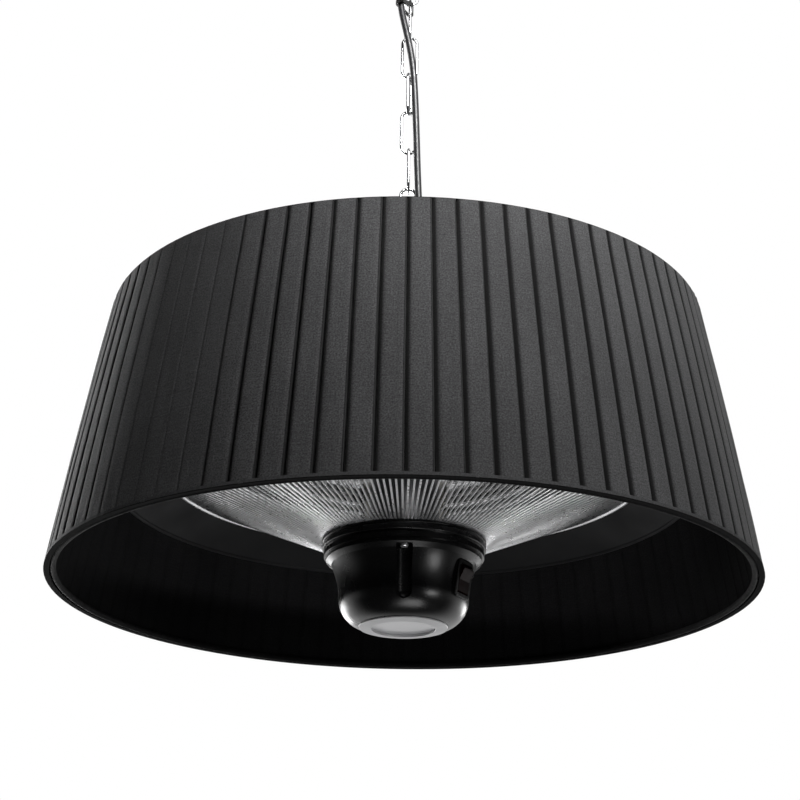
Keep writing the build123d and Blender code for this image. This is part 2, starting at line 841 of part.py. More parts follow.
bolt_head_z = bracket_foot_z + bracket_thickness + gap
hood_under_z = crown_z - hood_sheet
bolt_nut_z = hood_under_z - gap - bracket_bolt_head
with BuildPart() as bracket_bolts:
    for x in (bracket_bolt_spacing / 2, -bracket_bolt_spacing / 2):
        for y in (bolt_y, -bolt_y):
            with BuildSketch(Plane.XY.offset(bolt_head_z)):
                with Locations((x, y)):
                    RegularPolygon(bracket_bolt_flats / 2, 6, major_radius=False)
            extrude(amount=bracket_bolt_head)
            with Locations((x, y, bolt_head_z)):
                Cylinder(bracket_bolt_radius, bolt_head_z - bolt_nut_z + gap, align=DOWN)
            hexagon_nut(
                x,
                y,
                bolt_nut_z,
                bracket_bolt_head,
                bracket_bolt_flats,
                bracket_bolt_radius + thread_gap,
            )
save(bracket_bolts, "bracket_bolts")

# Terminal block and thermal cut-out on the hood's crown
block_length, block_width, block_height = terminal_block_size
block_x, block_y = terminal_block_centre
with BuildPart() as terminal_block:
    with Locations((block_x, block_y, crown_z + gap)):
        Box(block_width, block_length, block_height, align=UP)
    with Locations((block_x, block_y, crown_z + gap + block_height)):
        with GridLocations(block_width / 2, block_length / 4, 2, 4):
            Cylinder(block_width / 8, block_height / 4, align=DOWN, mode=Mode.SUBTRACT)
save(terminal_block, "terminal_block")

with BuildPart() as thermal_cutout:
    with Locations((*cutout_centre, crown_z + gap)):
        Cylinder(cutout_radius, cutout_height / 2, align=UP)
        Cylinder(cutout_radius * 0.8, cutout_height, align=UP)
    with Locations((*cutout_centre, crown_z + gap + cutout_height)):
        with GridLocations(cutout_radius, cutout_radius, 2, 1):
            Box(cutout_radius / 8, cutout_radius * 0.7, cutout_height, align=UP)
save(thermal_cutout, "thermal_cutout")

# Cable gland: locknut under the lid, hexagon, domed nut and a tapered strain relief
gland_hex_z = lid_top_z + gap
gland_dome_z = gland_hex_z + gland_hex_height
gland_taper_z = gland_dome_z + gland_dome_height
gland_tip_z = gland_taper_z + gland_taper_length
gland_nut_z = lid_top_z - housing_wall - gap - gland_nut_height
with BuildPart() as cable_gland:
    with BuildSketch(Plane.XY.offset(gland_hex_z)):
        with Locations(gland_centre):
            RegularPolygon(gland_flats / 2, 6, major_radius=False)
    extrude(amount=gland_hex_height)
    with Locations((gland_x, gland_y, gland_hex_z)):
        Cylinder(gland_thread_radius, gland_thread_length, align=DOWN)
    with Locations((gland_x, gland_y, gland_dome_z)):
        Cylinder(gland_dome_radius, gland_dome_height, align=UP)
    fillet(cable_gland.faces().sort_by(Axis.Z)[-1].edges(), gland_dome_height / 4)
    with Locations((gland_x, gland_y, gland_taper_z)):
        Cone(gland_taper_radius, gland_tip_radius, gland_taper_length, align=UP)
    with Locations((gland_x, gland_y, gland_hex_z - gland_thread_length)):
        Cylinder(
            cable_radius + gland_play,
            gland_thread_length + gland_tip_z - gland_hex_z,
            align=UP,
            mode=Mode.SUBTRACT,
        )
    hexagon_nut(
        gland_x,
        gland_y,
        gland_nut_z,
        gland_nut_height,
        gland_flats,
        gland_thread_radius + thread_gap,
    )
save(cable_gland, "cable_gland")

# Hood: a spun sheet dish with a rolled rim
shoulder_z = crown_z - hood_shoulder_drop
middle_z = crown_z - hood_middle_drop
lamp_hole_x, lamp_hole_y = lamp_lead_hole
hood_slope = (shoulder_z - hood_rim_z) / (hood_radius - hood_shoulder_radius)
stud_radius = hood_shoulder_radius + guard_clip_reach * 0.6
stud_z = shoulder_z - hood_sheet / 2 - (stud_radius - hood_shoulder_radius) * hood_slope


def stud_plane(index):
    """The plane on the hood's sloping flange where one guard clip's stud passes through it."""
    angle = guard_clip_first_degrees + 360 / guard_clip_count * index
    lean = atan(hood_slope)
    x, y = polar(stud_radius, angle)
    out_x, out_y = polar(sin(lean), angle)
    return Plane(origin=(x, y, stud_z), z_dir=(out_x, out_y, cos(lean)))


with BuildPart() as hood:
    with BuildSketch(Plane.XZ):
        with BuildLine():
            Line((0, crown_z), (hood_crown_radius, crown_z))
            ThreePointArc(
                (hood_crown_radius, crown_z),
                (hood_middle_radius, middle_z),
                (hood_shoulder_radius, shoulder_z),
            )
            Line((hood_shoulder_radius, shoulder_z), (hood_radius, hood_rim_z))
            Line((hood_radius, hood_rim_z), (hood_radius, hood_rim_z - hood_sheet))
            Line(
                (hood_radius, hood_rim_z - hood_sheet),
                (hood_shoulder_radius, shoulder_z - hood_sheet),
            )
            ThreePointArc(
                (hood_shoulder_radius, shoulder_z - hood_sheet),
                (hood_middle_radius, middle_z - hood_sheet),
                (hood_crown_radius, crown_z - hood_sheet),
            )
            Line((hood_crown_radius, crown_z - hood_sheet), (0, crown_z - hood_sheet))
            Line((0, crown_z - hood_sheet), (0, crown_z))
        make_face()
        with Locations((hood_radius, hood_rim_z)):
            Circle(hood_roll_radius)
    revolve(axis=Axis.Z)
    with Locations((0, 0, crown_z)):
        Cylinder(hood_lead_hole_radius, 2 * hood_sheet + overrun, mode=Mode.SUBTRACT)
        with GridLocations(bracket_bolt_spacing, 2 * bolt_y, 2, 2):
            Cylinder(
                bracket_bolt_radius + thread_gap, 2 * hood_sheet + overrun, mode=Mode.SUBTRACT
            )
        with PolarLocations(spacer_circle_radius, spacer_count, spacer_first_degrees):
            Cylinder(
                spacer_screw_radius + thread_gap, 2 * hood_sheet + overrun, mode=Mode.SUBTRACT
            )
        with Locations((lamp_hole_x, lamp_hole_y), (-lamp_hole_x, lamp_hole_y)):
            Cylinder(lead_hole_radius, 2 * hood_sheet + overrun, mode=Mode.SUBTRACT)
    for index in range(guard_clip_count):
        with Locations(stud_plane(index).location):
            Cylinder(
                guard_clip_stud_radius + gap, 2 * hood_sheet + overrun, mode=Mode.SUBTRACT
            )
save(hood, "hood")

# Reflector: a polished dish under the hood
reflector_top_z = crown_z - reflector_drop
reflector_slope = (reflector_middle_drop - reflector_drop) / (
    reflector_middle_radius - reflector_flat_radius
)


def reflector_upper_z(radius):
    """The height of the reflector's upper face on its long slope."""
    return reflector_top_z - (radius - reflector_flat_radius) * reflector_slope


degrees_per_length = 180 / (pi * lamp_ring_radius)
lamp_end_degrees = lamp_gap_degrees / 2
lamp_lead_degrees = lamp_end_degrees - lamp_cap_beyond_tube / 2 * degrees_per_length
reflector_middle_z = crown_z - reflector_middle_drop
reflector_lip_z = crown_z - reflector_lip_drop
with BuildPart() as reflector:
    turned(
        (reflector_hole_radius, reflector_top_z),
        (reflector_flat_radius, reflector_top_z),
        (reflector_middle_radius, reflector_middle_z),
        (reflector_lip_radius, reflector_lip_z),
        (reflector_rim_radius, reflector_lip_z),
        (reflector_rim_radius, reflector_lip_z - reflector_sheet),
        (reflector_lip_radius - reflector_sheet / 2, reflector_lip_z - reflector_sheet),
        (reflector_middle_radius - reflector_sheet / 2, reflector_middle_z - reflector_sheet),
        (reflector_flat_radius, reflector_top_z - reflector_sheet),
        (reflector_hole_radius, reflector_top_z - reflector_sheet),
    )
    with Locations((0, 0, reflector_top_z)):
        with PolarLocations(spacer_circle_radius, spacer_count, spacer_first_degrees):
            Cylinder(spacer_screw_radius + thread_gap, reflector_drop, mode=Mode.SUBTRACT)
    with Locations((0, 0, reflector_upper_z(lamp_ring_radius))):
        with PolarLocations(
            lamp_ring_radius, 2, 90 - lamp_lead_degrees, 2 * lamp_lead_degrees, endpoint=True
        ):
            Cylinder(lead_hole_radius, reflector_drop, mode=Mode.SUBTRACT)
save(reflector, "reflector")

# Spacers, screws and nuts that hold the reflector under the hood
spacer_low_z = reflector_upper_z(spacer_circle_radius - spacer_radius) + gap
nut_top_z = reflector_upper_z(spacer_circle_radius + spacer_nut_flats / 2) - reflector_sheet - gap
screw_tip_z = nut_top_z - spacer_nut_height - spacer_screw_past_nut
with BuildPart() as reflector_spacers:
    for index in range(spacer_count):
        x, y = polar(spacer_circle_radius, spacer_first_degrees + 360 / spacer_count * index)
        with Locations((x, y, spacer_low_z)):
            Cylinder(spacer_radius, hood_under_z - gap - spacer_low_z, align=UP)
            Cylinder(
                spacer_screw_radius + thread_gap,
                hood_under_z - gap - spacer_low_z,
                align=UP,
                mode=Mode.SUBTRACT,
            )
        with Locations((x, y, screw_tip_z)):
            Cylinder(spacer_screw_radius, crown_z + gap - screw_tip_z, align=UP)
        with Locations((x, y, crown_z + gap)):
            Cylinder(spacer_head_radius, spacer_head_height, align=UP)
        hexagon_nut(
            x,
            y,
            nut_top_z - spacer_nut_height,
            spacer_nut_height,
            spacer_nut_flats,
            spacer_screw_radius + thread_gap,
        )
save(reflector_spacers, "reflector_spacers")

# Ring lamp: a glass tube nearly closed on itself, its filament, end caps and clips
end_play_degrees = gap * degrees_per_length
tube_start = 90 + lamp_end_degrees + end_play_degrees
tube_span = 360 - lamp_gap_degrees - 2 * end_play_degrees
with BuildPart() as lamp_tube:
    arc_tube(lamp_ring_radius, lamp_z, tube_start, tube_span, lamp_tube_radius)
    arc_tube(
        lamp_ring_radius,
        lamp_z,
        tube_start,
        tube_span,
        lamp_tube_radius - lamp_tube_wall,
        mode=Mode.SUBTRACT,
    )
save(lamp_tube, "lamp_tube")

with BuildPart() as lamp_filament:
    arc_tube(lamp_ring_radius, lamp_z, tube_start, tube_span, filament_radius)
save(lamp_filament, "lamp_filament")

cap_over_degrees = lamp_cap_over_tube * degrees_per_length
cap_beyond_degrees = lamp_cap_beyond_tube * degrees_per_length
overrun_degrees = overrun * degrees_per_length
post_top_z = reflector_upper_z(lamp_ring_radius + lamp_post_radius) - reflector_sheet - gap
with BuildPart() as lamp_end_caps:
    for side in (1, -1):
        end = 90 + side * lamp_end_degrees
        arc_tube(
            lamp_ring_radius,
            lamp_z,
            end - side * cap_beyond_degrees,
            side * (cap_beyond_degrees + cap_over_degrees),
            lamp_cap_radius,
        )
        x, y = polar(lamp_ring_radius, end + side * cap_over_degrees / 2)
        with Locations((x, y, lamp_z)):
            Cylinder(lamp_post_radius, post_top_z - lamp_z, align=UP)
        arc_tube(
            lamp_ring_radius,
            lamp_z,
            end,
            side * (cap_over_degrees + overrun_degrees),
            lamp_tube_radius + gap,
            mode=Mode.SUBTRACT,
        )
save(lamp_end_caps, "lamp_end_caps")

clip_strap_top_z = reflector_upper_z(lamp_ring_radius + lamp_clip_strap / 2) - reflector_sheet - gap
clip_inner = lamp_tube_radius + gap
clip_outer = clip_inner + lamp_clip_thickness
with BuildPart() as lamp_clips:
    for index in range(lamp_clip_count):
        angle = lamp_clip_first_degrees + index * 360 / (lamp_clip_count + 3)
        with BuildSketch(radial_plane(angle)):
            with Locations((lamp_ring_radius, lamp_z)):
                Circle(clip_outer)
            with Locations((lamp_ring_radius, lamp_z + clip_inner)):
                Rectangle(
                    lamp_clip_strap,
                    clip_strap_top_z - lamp_z - clip_inner,
                    align=(Align.CENTER, Align.MIN),
                )
            with Locations((lamp_ring_radius, lamp_z)):
                Circle(clip_inner, mode=Mode.SUBTRACT)
            with Locations((lamp_ring_radius, lamp_z - clip_outer)):
                Rectangle(
                    2 * clip_inner * lamp_clip_mouth_share, clip_outer, mode=Mode.SUBTRACT
                )
        extrude(amount=lamp_clip_width / 2, both=True)
save(lamp_clips, "lamp_clips")

# Heat guard: two welded rings with radial wires between them, a support ring and its clips
guard_run = guard_outer_radius - guard_inner_radius
guard_lean = atan2(guard_depth, guard_run)
with BuildPart() as guard_rings:
    wire_ring(guard_outer_radius, guard_top_z, guard_outer_wire)
    wire_ring(guard_inner_radius, guard_bottom_z, guard_ring_wire)
    support_z = guard_bottom_z + (guard_support_radius - guard_inner_radius) * tan(guard_lean)
    support_rise = (guard_wire + guard_ring_wire) / 2 + gap
    wire_ring(guard_support_radius, support_z + support_rise / cos(guard_lean), guard_ring_wire)
save(guard_rings, "guard_rings")


def guard_point(along, across):
    """A (radius, height) point along the wires from the inner ring and across them."""
    return (
        guard_inner_radius + along * cos(guard_lean) - across * sin(guard_lean),
        guard_bottom_z + along * sin(guard_lean) + across * cos(guard_lean),
    )


wire_start = guard_ring_wire / 2 + gap
wire_end = guard_run / cos(guard_lean) - guard_outer_wire / 2 - gap
half_wire = guard_wire / 2
half_step = radians(180 / guard_wire_count)
slot_low = guard_point(wire_start + guard_band, 0)[0]
slot_high = guard_point(wire_end - guard_band, 0)[0]


def slot_half_width(radius):
    """Half the gap between two guard wires."""
    return radius * sin(half_step) - half_wire


with BuildPart() as guard_wires:
    turned(
        guard_point(wire_start, -half_wire),
        guard_point(wire_end, -half_wire),
        guard_point(wire_end, half_wire),
        guard_point(wire_start, half_wire),
    )
    with BuildSketch(Plane.XY.offset(guard_bottom_z - overrun)):
        with PolarLocations(0, guard_wire_count, 180 / guard_wire_count):
            Polygon(
                (slot_low, -slot_half_width(slot_low)),
                (slot_high, -slot_half_width(slot_high)),
                (slot_high, slot_half_width(slot_high)),
                (slot_low, slot_half_width(slot_low)),
                align=None,
            )
    extrude(amount=guard_depth + 2 * overrun, mode=Mode.SUBTRACT)
save(guard_wires, "guard_wires")

saddle_inner = guard_outer_wire / 2 + gap
saddle_outer = saddle_inner + guard_clip_sheet
tab_low_radius = guard_outer_radius + saddle_inner
tab_high_radius = hood_shoulder_radius + guard_clip_reach


def tab_top_z(radius):
    """The height just under the hood's sloping flange."""
    return shoulder_z - hood_sheet - gap - (radius - hood_shoulder_radius) * hood_slope


with BuildPart() as guard_clips:
    for index in range(guard_clip_count):
        angle = guard_clip_first_degrees + 360 / guard_clip_count * index
        with BuildSketch(radial_plane(angle)):
            with Locations((guard_outer_radius, guard_top_z)):
                Circle(saddle_outer)
            with Locations((guard_outer_radius, guard_top_z)):
                Rectangle(
                    saddle_outer,
                    2 * saddle_outer,
                    align=(Align.MAX, Align.CENTER),
                    mode=Mode.SUBTRACT,
                )
                Rectangle(
                    saddle_outer, saddle_outer, align=(Align.MIN, Align.MIN), mode=Mode.SUBTRACT
                )
            with BuildLine():
                Polyline(
                    (tab_low_radius, guard_top_z),
                    (tab_low_radius, tab_top_z(tab_low_radius)),
                    (tab_high_radius, tab_top_z(tab_high_radius)),
                    (tab_high_radius, tab_top_z(tab_high_radius) - guard_clip_sheet),
                    (
                        tab_low_radius + guard_clip_sheet,
                        tab_top_z(tab_low_radius + guard_clip_sheet) - guard_clip_sheet,
                    ),
                    (tab_low_radius + guard_clip_sheet, guard_top_z),
                    close=True,
                )
            make_face()
            with Locations((guard_outer_radius, guard_top_z)):
                Circle(saddle_inner, mode=Mode.SUBTRACT)
        extrude(amount=guard_clip_width / 2, both=True)
        with Locations(stud_plane(index).location):
            Cylinder(guard_clip_stud_radius, hood_sheet * 4, align=UP)
            Cylinder(guard_clip_stud_radius, hood_sheet * 2, align=DOWN)
            with Locations((0, 0, -hood_sheet / 2 - gap - guard_clip_sheet / 2)):
                Cylinder(
                    guard_clip_head_radius, guard_clip_head_height + guard_clip_sheet / 2, align=DOWN
                )
save(guard_clips, "guard_clips")

# Centre column: a stepped tube from the reflector down to the pod's collar
column_top_z = reflector_top_z - reflector_sheet - gap
column_step_z = column_top_z - column_step_height
column_bottom_z = collar_top_z + gap
with BuildPart() as centre_column:
    turned(
        (reflector_hole_radius, column_top_z),
        (column_step_radius, column_top_z),
        (column_step_radius, column_step_z),
        (column_radius, column_step_z),
        (column_radius, column_bottom_z + column_wall),
        (column_foot_radius, column_bottom_z + column_wall),
        (column_foot_radius, column_bottom_z),
        (column_radius - column_wall, column_bottom_z),
        (column_radius - column_wall, column_step_z + column_wall),
        (column_step_radius - column_wall, column_step_z + column_wall),
        (column_step_radius - column_wall, column_top_z - column_wall),
        (reflector_hole_radius, column_top_z - column_wall),
    )
save(centre_column, "centre_column")

# Pod collar
groove_top_z = collar_top_z - collar_rim_height
groove_bottom_z = groove_top_z - collar_groove_height
with BuildPart() as pod_collar:
    turned(
        (reflector_hole_radius, collar_top_z),
        (collar_radius, collar_top_z),
        (collar_radius, groove_top_z),
        (collar_groove_radius, groove_top_z),
        (collar_groove_radius, groove_bottom_z),
        (collar_skirt_radius, groove_bottom_z),
        (collar_skirt_radius, collar_bottom_z),
        (collar_inner_radius, collar_bottom_z),
        (collar_inner_radius, collar_top_z - collar_plate),
        (reflector_hole_radius, collar_top_z - collar_plate),
    )
    with Locations((0, 0, collar_bottom_z)):
        with PolarLocations(pod_screw_circle_radius, channel_count, channel_first_degrees):
            Cylinder(
                pod_screw_radius + thread_gap,
                pod_screw_length - pod_flange_height,
                align=UP,
                mode=Mode.SUBTRACT,
            )
    fillet(
        pod_collar.edges()
        .filter_by(GeomType.CIRCLE)
        .filter_by(lambda e: abs(e.radius - collar_radius) < gap),
        gap * 4,
    )
save(pod_collar, "pod_collar")

# Pod housing: a turned shell with three screw channels and a flat pad for the switch
pod_shoulder_z = pod_top_z - pod_shoulder_drop
pod_waist_z = pod_top_z - pod_waist_drop
flare_run = pod_shoulder_radius - pod_waist_radius
flare_rise = pod_shoulder_z - pod_waist_z
flare_radius = (flare_run**2 + flare_rise**2) / (2 * flare_run)
switch_z = pod_top_z - switch_drop
switch_lean = (switch_z - pod_waist_z) / flare_radius
switch_reach = pod_waist_radius + flare_radius * (1 - sqrt(1 - switch_lean**2))
face_x, face_y = polar(sqrt(1 - switch_lean**2), switch_turn_degrees)
switch_plane = Plane(
    origin=(*polar(switch_reach, switch_turn_degrees), switch_z),
    x_dir=(-sin(radians(switch_turn_degrees)), cos(radians(switch_turn_degrees)), 0),
    z_dir=(face_x, face_y, -switch_lean),
)
bezel_width, bezel_length = switch_bezel_size
body_width, body_length = switch_body_size
channel_top_z = pod_top_z - pod_flange_height - channel_wall / 2


def pod_profile(inset):
    """The pod's outline turned about the vertical axis, moved in by the wall's thickness."""
    with BuildSketch(Plane.XZ) as profile:
        with BuildLine():
            waist = (pod_waist_radius - inset, pod_waist_z)
            shoulder = (pod_shoulder_radius - inset, pod_shoulder_z)
            mouth = (pod_mouth_radius - inset, pod_bottom_z + inset)
            flange = pod_flange_radius if inset == 0 else pod_shoulder_radius - inset
            flange_z = pod_top_z - pod_flange_height
            Polyline((0, mouth[1]), (0, pod_top_z), (flange, pod_top_z), (flange, flange_z))
            Line((flange, flange_z), shoulder)
            TangentArc(waist, shoulder, tangent=(0, 1))
            TangentArc(waist, mouth, tangent=(0, -1))
            Line(mouth, (0, mouth[1]))
        make_face()
    revolve(profile.sketch, axis=Axis.Z)


def cut_channels(radius, top_z):
    """Takes a rod away along each channel: upright at the screw, then leaning in with the pod."""
    lean = radians(channel_lean_degrees)
    turn_z = channel_top_z - channel_radius / 2
    for index in range(channel_count):
        angle = channel_first_degrees + 360 / channel_count * index
        x, y = polar(channel_circle_radius, angle)
        out_x, out_y = polar(sin(lean), angle)
        with Locations((x, y, top_z)):
            Cylinder(radius, top_z - turn_z + channel_radius, align=DOWN, mode=Mode.SUBTRACT)
        with Locations(Plane(origin=(x, y, turn_z), z_dir=(out_x, out_y, cos(lean))).location):
            Cylinder(radius, channel_length, align=DOWN, mode=Mode.SUBTRACT)
            with Locations((0, 0, -channel_length)):
                Sphere(radius, mode=Mode.SUBTRACT)


with BuildPart() as pod_cavity:
    pod_profile(pod_wall)
    cut_channels(channel_radius + channel_wall, pod_top_z)

with BuildPart() as pod_housing:
    pod_profile(0)
    with BuildSketch(switch_plane):
        RectangleRounded(
            bezel_width + 2 * switch_pad_margin,
            bezel_length + 2 * switch_pad_margin,
            switch_bezel_corner,
        )
    extrude(amount=-pod_wall)
    add(pod_cavity.part, mode=Mode.SUBTRACT)
    with BuildSketch(switch_plane):
        RectangleRounded(bezel_width + 2 * gap, bezel_length + 2 * gap, switch_bezel_corner)
    extrude(amount=pod_wall * 4, mode=Mode.SUBTRACT)
    with BuildSketch(switch_plane):
        Rectangle(body_width + 2 * gap, body_length + 2 * gap)
    extrude(amount=-switch_body_depth, mode=Mode.SUBTRACT)
    cut_channels(channel_radius, channel_top_z)
    with Locations((0, 0, pod_top_z)):
        with PolarLocations(pod_screw_circle_radius, channel_count, channel_first_degrees):
            Cylinder(
                pod_screw_radius + thread_gap,
                2 * pod_shoulder_drop,
                mode=Mode.SUBTRACT,
            )
    with Locations((0, 0, pod_bottom_z)):
        Cylinder(pod_mouth_radius - pod_mouth_rim, 4 * pod_wall, mode=Mode.SUBTRACT)
save(pod_housing, "pod_housing")

# Screws at the top of the pod's channels, up into the collar
with BuildPart() as pod_screws:
    with Locations((0, 0, channel_top_z - gap)):
        with PolarLocations(pod_screw_circle_radius, channel_count, channel_first_degrees):
            Cylinder(pod_screw_head_radius, pod_screw_head_height, align=DOWN)
            Cylinder(pod_screw_radius, pod_screw_length - channel_wall, align=UP)
    chamfer(pod_screws.faces().group_by(Axis.Z)[0].edges(), pod_screw_head_height / 4)
save(pod_screws, "pod_screws")

# Bottom ring, lens and lamp board
ring_top_z = pod_bottom_z - gap
neck_radius = pod_mouth_radius - pod_mouth_rim - gap
with BuildPart() as pod_base_ring:
    turned(
        (base_ring_bore, ring_top_z),
        (base_ring_bore, ring_top_z - base_ring_plate - base_ring_fall),
        (base_ring_radius, ring_top_z - base_ring_plate),
        (base_ring_radius, ring_top_z),
        (neck_radius, ring_top_z),
        (neck_radius, ring_top_z + base_ring_neck_height),
        (neck_radius - base_ring_neck_wall, ring_top_z + base_ring_neck_height),
        (neck_radius - base_ring_neck_wall, ring_top_z),
    )
    fillet(
        pod_base_ring.edges()
        .filter_by(GeomType.CIRCLE)
        .filter_by(lambda e: e.arc_center.Z < ring_top_z - base_ring_plate / 2),
        base_ring_plate / 3,
    )
save(pod_base_ring, "pod_base_ring")

with BuildPart() as pod_lens:
    with Locations((0, 0, ring_top_z + gap)):
        Cylinder(lens_radius, lens_thickness, align=UP)
    chamfer(pod_lens.faces().sort_by(Axis.Z)[0].edges(), lens_thickness / 4)
save(pod_lens, "pod_lens")

board_z = ring_top_z + base_ring_neck_height + gap
with BuildPart() as led_board:
    with Locations((0, 0, board_z)):
        Cylinder(neck_radius, board_thickness, align=UP)
        with PolarLocations(chip_circle_radius, chip_count):
            Box(chip_size, chip_size, chip_height, align=DOWN)
save(led_board, "led_board")

# Switch frame: bezel, body with a pocket for the rocker, and three tabs
tab_width, tab_thickness, tab_length = switch_tab_size
swing_at_face = sqrt(rocker_swing_radius**2 - rocker_pivot_depth**2)
window_width = rocker_width + 2 * switch_window_margin
with BuildPart() as switch_frame:
    with BuildSketch(switch_plane.offset(gap)):
        RectangleRounded(bezel_width, bezel_length, switch_bezel_corner)
    extrude(amount=switch_bezel_height)
    bezel_face = switch_frame.faces().sort_by(Axis(switch_plane.origin, switch_plane.z_dir))[-1]
    fillet(bezel_face.edges(), switch_bezel_height / 2)
    with BuildSketch(switch_plane.offset(gap)):
        Rectangle(body_width, body_length)
    extrude(amount=-switch_body_depth)
    with BuildSketch(switch_plane.offset(gap + switch_bezel_height)):
        Rectangle(window_width, 2 * swing_at_face + 2 * switch_window_margin)
    extrude(amount=-switch_pocket_depth, mode=Mode.SUBTRACT)
    with BuildSketch(switch_plane.offset(-rocker_pivot_depth / 4)):
        Rectangle(window_width, 2 * rocker_swing_radius + 2 * switch_window_margin)
    extrude(amount=-switch_pocket_depth, mode=Mode.SUBTRACT)
    with BuildSketch(switch_plane.offset(gap - switch_body_depth)):
        with GridLocations(0, switch_tab_spacing, 1, 3):
            Rectangle(tab_width, tab_thickness)
    extrude(amount=-tab_length)
    with BuildSketch(pivot_plane := Plane(
        origin=switch_plane.from_local_coords((0, 0, -rocker_pivot_depth)),
        x_dir=switch_plane.y_dir,
        z_dir=switch_plane.x_dir,
    )):
        Circle(rocker_trunnion_radius + pivot_gap)
    extrude(
        amount=window_width / 2 + rocker_trunnion_length + gap, both=True, mode=Mode.SUBTRACT
    )
save(switch_frame, "switch_frame")

# Rocker: at rest its upper end stands out, and it swings about the trunnions at its back
swing_axis = Axis((0, 0, 0), pivot_plane.z_dir)
rest_plane = Plane(
    origin=pivot_plane.origin,
    x_dir=pivot_plane.x_dir.rotate(swing_axis, rocker_throw_degrees / 2),
    z_dir=pivot_plane.z_dir,
)
front_low = rocker_pivot_depth + rocker_front
with BuildPart() as rocker:
    with BuildSketch(rest_plane):
        Circle(rocker_swing_radius)
        with BuildLine():
            Polyline(
                (-rocker_swing_radius, -rocker_back),
                (-rocker_swing_radius, front_low + rocker_front_rise),
                (0, front_low),
                (rocker_swing_radius, front_low + rocker_front_rise),
                (rocker_swing_radius, -rocker_back),
                close=True,
            )
        make_face(mode=Mode.INTERSECT)
    extrude(amount=rocker_width / 2, both=True)
    with BuildSketch(pivot_plane):
        Circle(rocker_trunnion_radius)
    extrude(amount=window_width / 2 + rocker_trunnion_length, both=True)
save(rocker, "rocker")

# Leads: mains core, two lamp leads, the pod's lead and the switch's lead
block_top_z = crown_z + gap + block_height
block_end_y = block_y + block_length / 2 + gap
block_near_y = block_y - block_length / 2 - gap
lamp_lead_x, lamp_lead_y = polar(lamp_ring_radius, 90 - lamp_lead_degrees)
cap_top_z = lamp_z + lamp_cap_radius + gap
between_z = crown_z - (hood_sheet + reflector_drop) / 2
low_run_z = crown_z + block_height / 3
high_run_z = crown_z + block_height * 0.75
with BuildPart() as inner_leads:
    tube(
        [
            (gland_x, gland_y, gland_hex_z - gland_thread_length - gap),
            (gland_x, gland_y, block_top_z + block_height),
            (0, 0, block_top_z + block_height * 0.6),
            (block_x, block_y, block_top_z + block_height * 0.7),
            (block_x, block_y, block_top_z + gap),
        ],
        mains_core_radius,
    )
    for side in (1, -1):
        tube(
            [
                (side * lamp_lead_x, lamp_lead_y, cap_top_z),
                (side * lamp_lead_x, lamp_lead_y, between_z - hood_middle_drop * 0.8),
                (side * lamp_hole_x, lamp_hole_y, between_z),
                (side * lamp_hole_x, lamp_hole_y, high_run_z),
                (block_x + side * block_width / 4, lamp_hole_y - overrun, high_run_z),
                (block_x + side * block_width / 4, block_end_y, high_run_z),
            ],
            lead_radius,
        )
    tube(
        [
            (-lead_spread, 0, board_z + board_thickness + gap),
            (-lead_spread, 0, high_run_z),
            (-lead_spread, block_near_y - block_width, high_run_z),
            (block_x - block_width / 4, block_near_y - block_width, high_run_z),
            (block_x - block_width / 4, block_near_y, high_run_z),
        ],
        lead_radius,
    )
    tab_end = switch_plane.from_local_coords((0, 0, gap - switch_body_depth - tab_length - gap))
    tube(
        [
            tuple(tab_end),
            (lead_spread, -lead_spread, tab_end.Z),
            (lead_spread, 0, tab_end.Z + block_height),
            (lead_spread, 0, low_run_z),
            (lead_spread, block_near_y - block_width * 0.6, low_run_z),
            (block_x + block_width / 4, block_near_y - block_width * 0.6, low_run_z),
            (block_x + block_width / 4, block_near_y, low_run_z),
        ],
        lead_radius,
    )
save(inner_leads, "inner_leads")

print(f"rim {shade_bottom_z:.2f}, crown {crown_z:.2f}, collar {collar_top_z:.2f}, pod {pod_bottom_z:.2f}")
print("rocker pivot", pivot_plane.origin, "axis", switch_plane.x_dir)
print(f"hook pivot {hook_low_z:.2f}, first link pivot {first_link_z - link_run:.2f}")
print(f"last link pivot {last_link_z:.2f}")
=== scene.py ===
"""Dresses the hanging patio heater with cloth, metal, glass and plastic, and sets the studio."""

import math

import bmesh
import bpy
from bpy.props import FloatProperty, FloatVectorProperty, IntProperty, PointerProperty
from mathutils import Matrix, Vector


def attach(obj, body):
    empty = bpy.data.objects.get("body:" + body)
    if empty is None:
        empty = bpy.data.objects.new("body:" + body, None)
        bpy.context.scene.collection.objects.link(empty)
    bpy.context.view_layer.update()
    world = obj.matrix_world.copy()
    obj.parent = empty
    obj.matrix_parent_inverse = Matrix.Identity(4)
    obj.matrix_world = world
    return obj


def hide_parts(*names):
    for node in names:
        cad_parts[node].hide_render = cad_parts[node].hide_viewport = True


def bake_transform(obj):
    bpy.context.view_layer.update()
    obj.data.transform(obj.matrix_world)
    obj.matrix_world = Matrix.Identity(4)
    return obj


bl_info = {
    "name": "Hanging patio heater",
    "version": (1, 0, 0),
    "blender": (4, 5, 0),
    "location": "View3D > Sidebar > Heater",
    "description": "Dresses a hanging patio heater on its CAD frame",
    "category": "Object",
}

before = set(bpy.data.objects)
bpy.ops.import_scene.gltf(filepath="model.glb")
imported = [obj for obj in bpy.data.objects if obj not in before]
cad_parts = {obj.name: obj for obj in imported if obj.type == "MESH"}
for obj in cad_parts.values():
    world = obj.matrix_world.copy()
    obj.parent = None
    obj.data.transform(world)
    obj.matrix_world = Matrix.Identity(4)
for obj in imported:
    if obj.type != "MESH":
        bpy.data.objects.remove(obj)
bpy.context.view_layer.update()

MM = 0.001
RING_LENGTH = 2 * math.pi
HEATER = "heater"

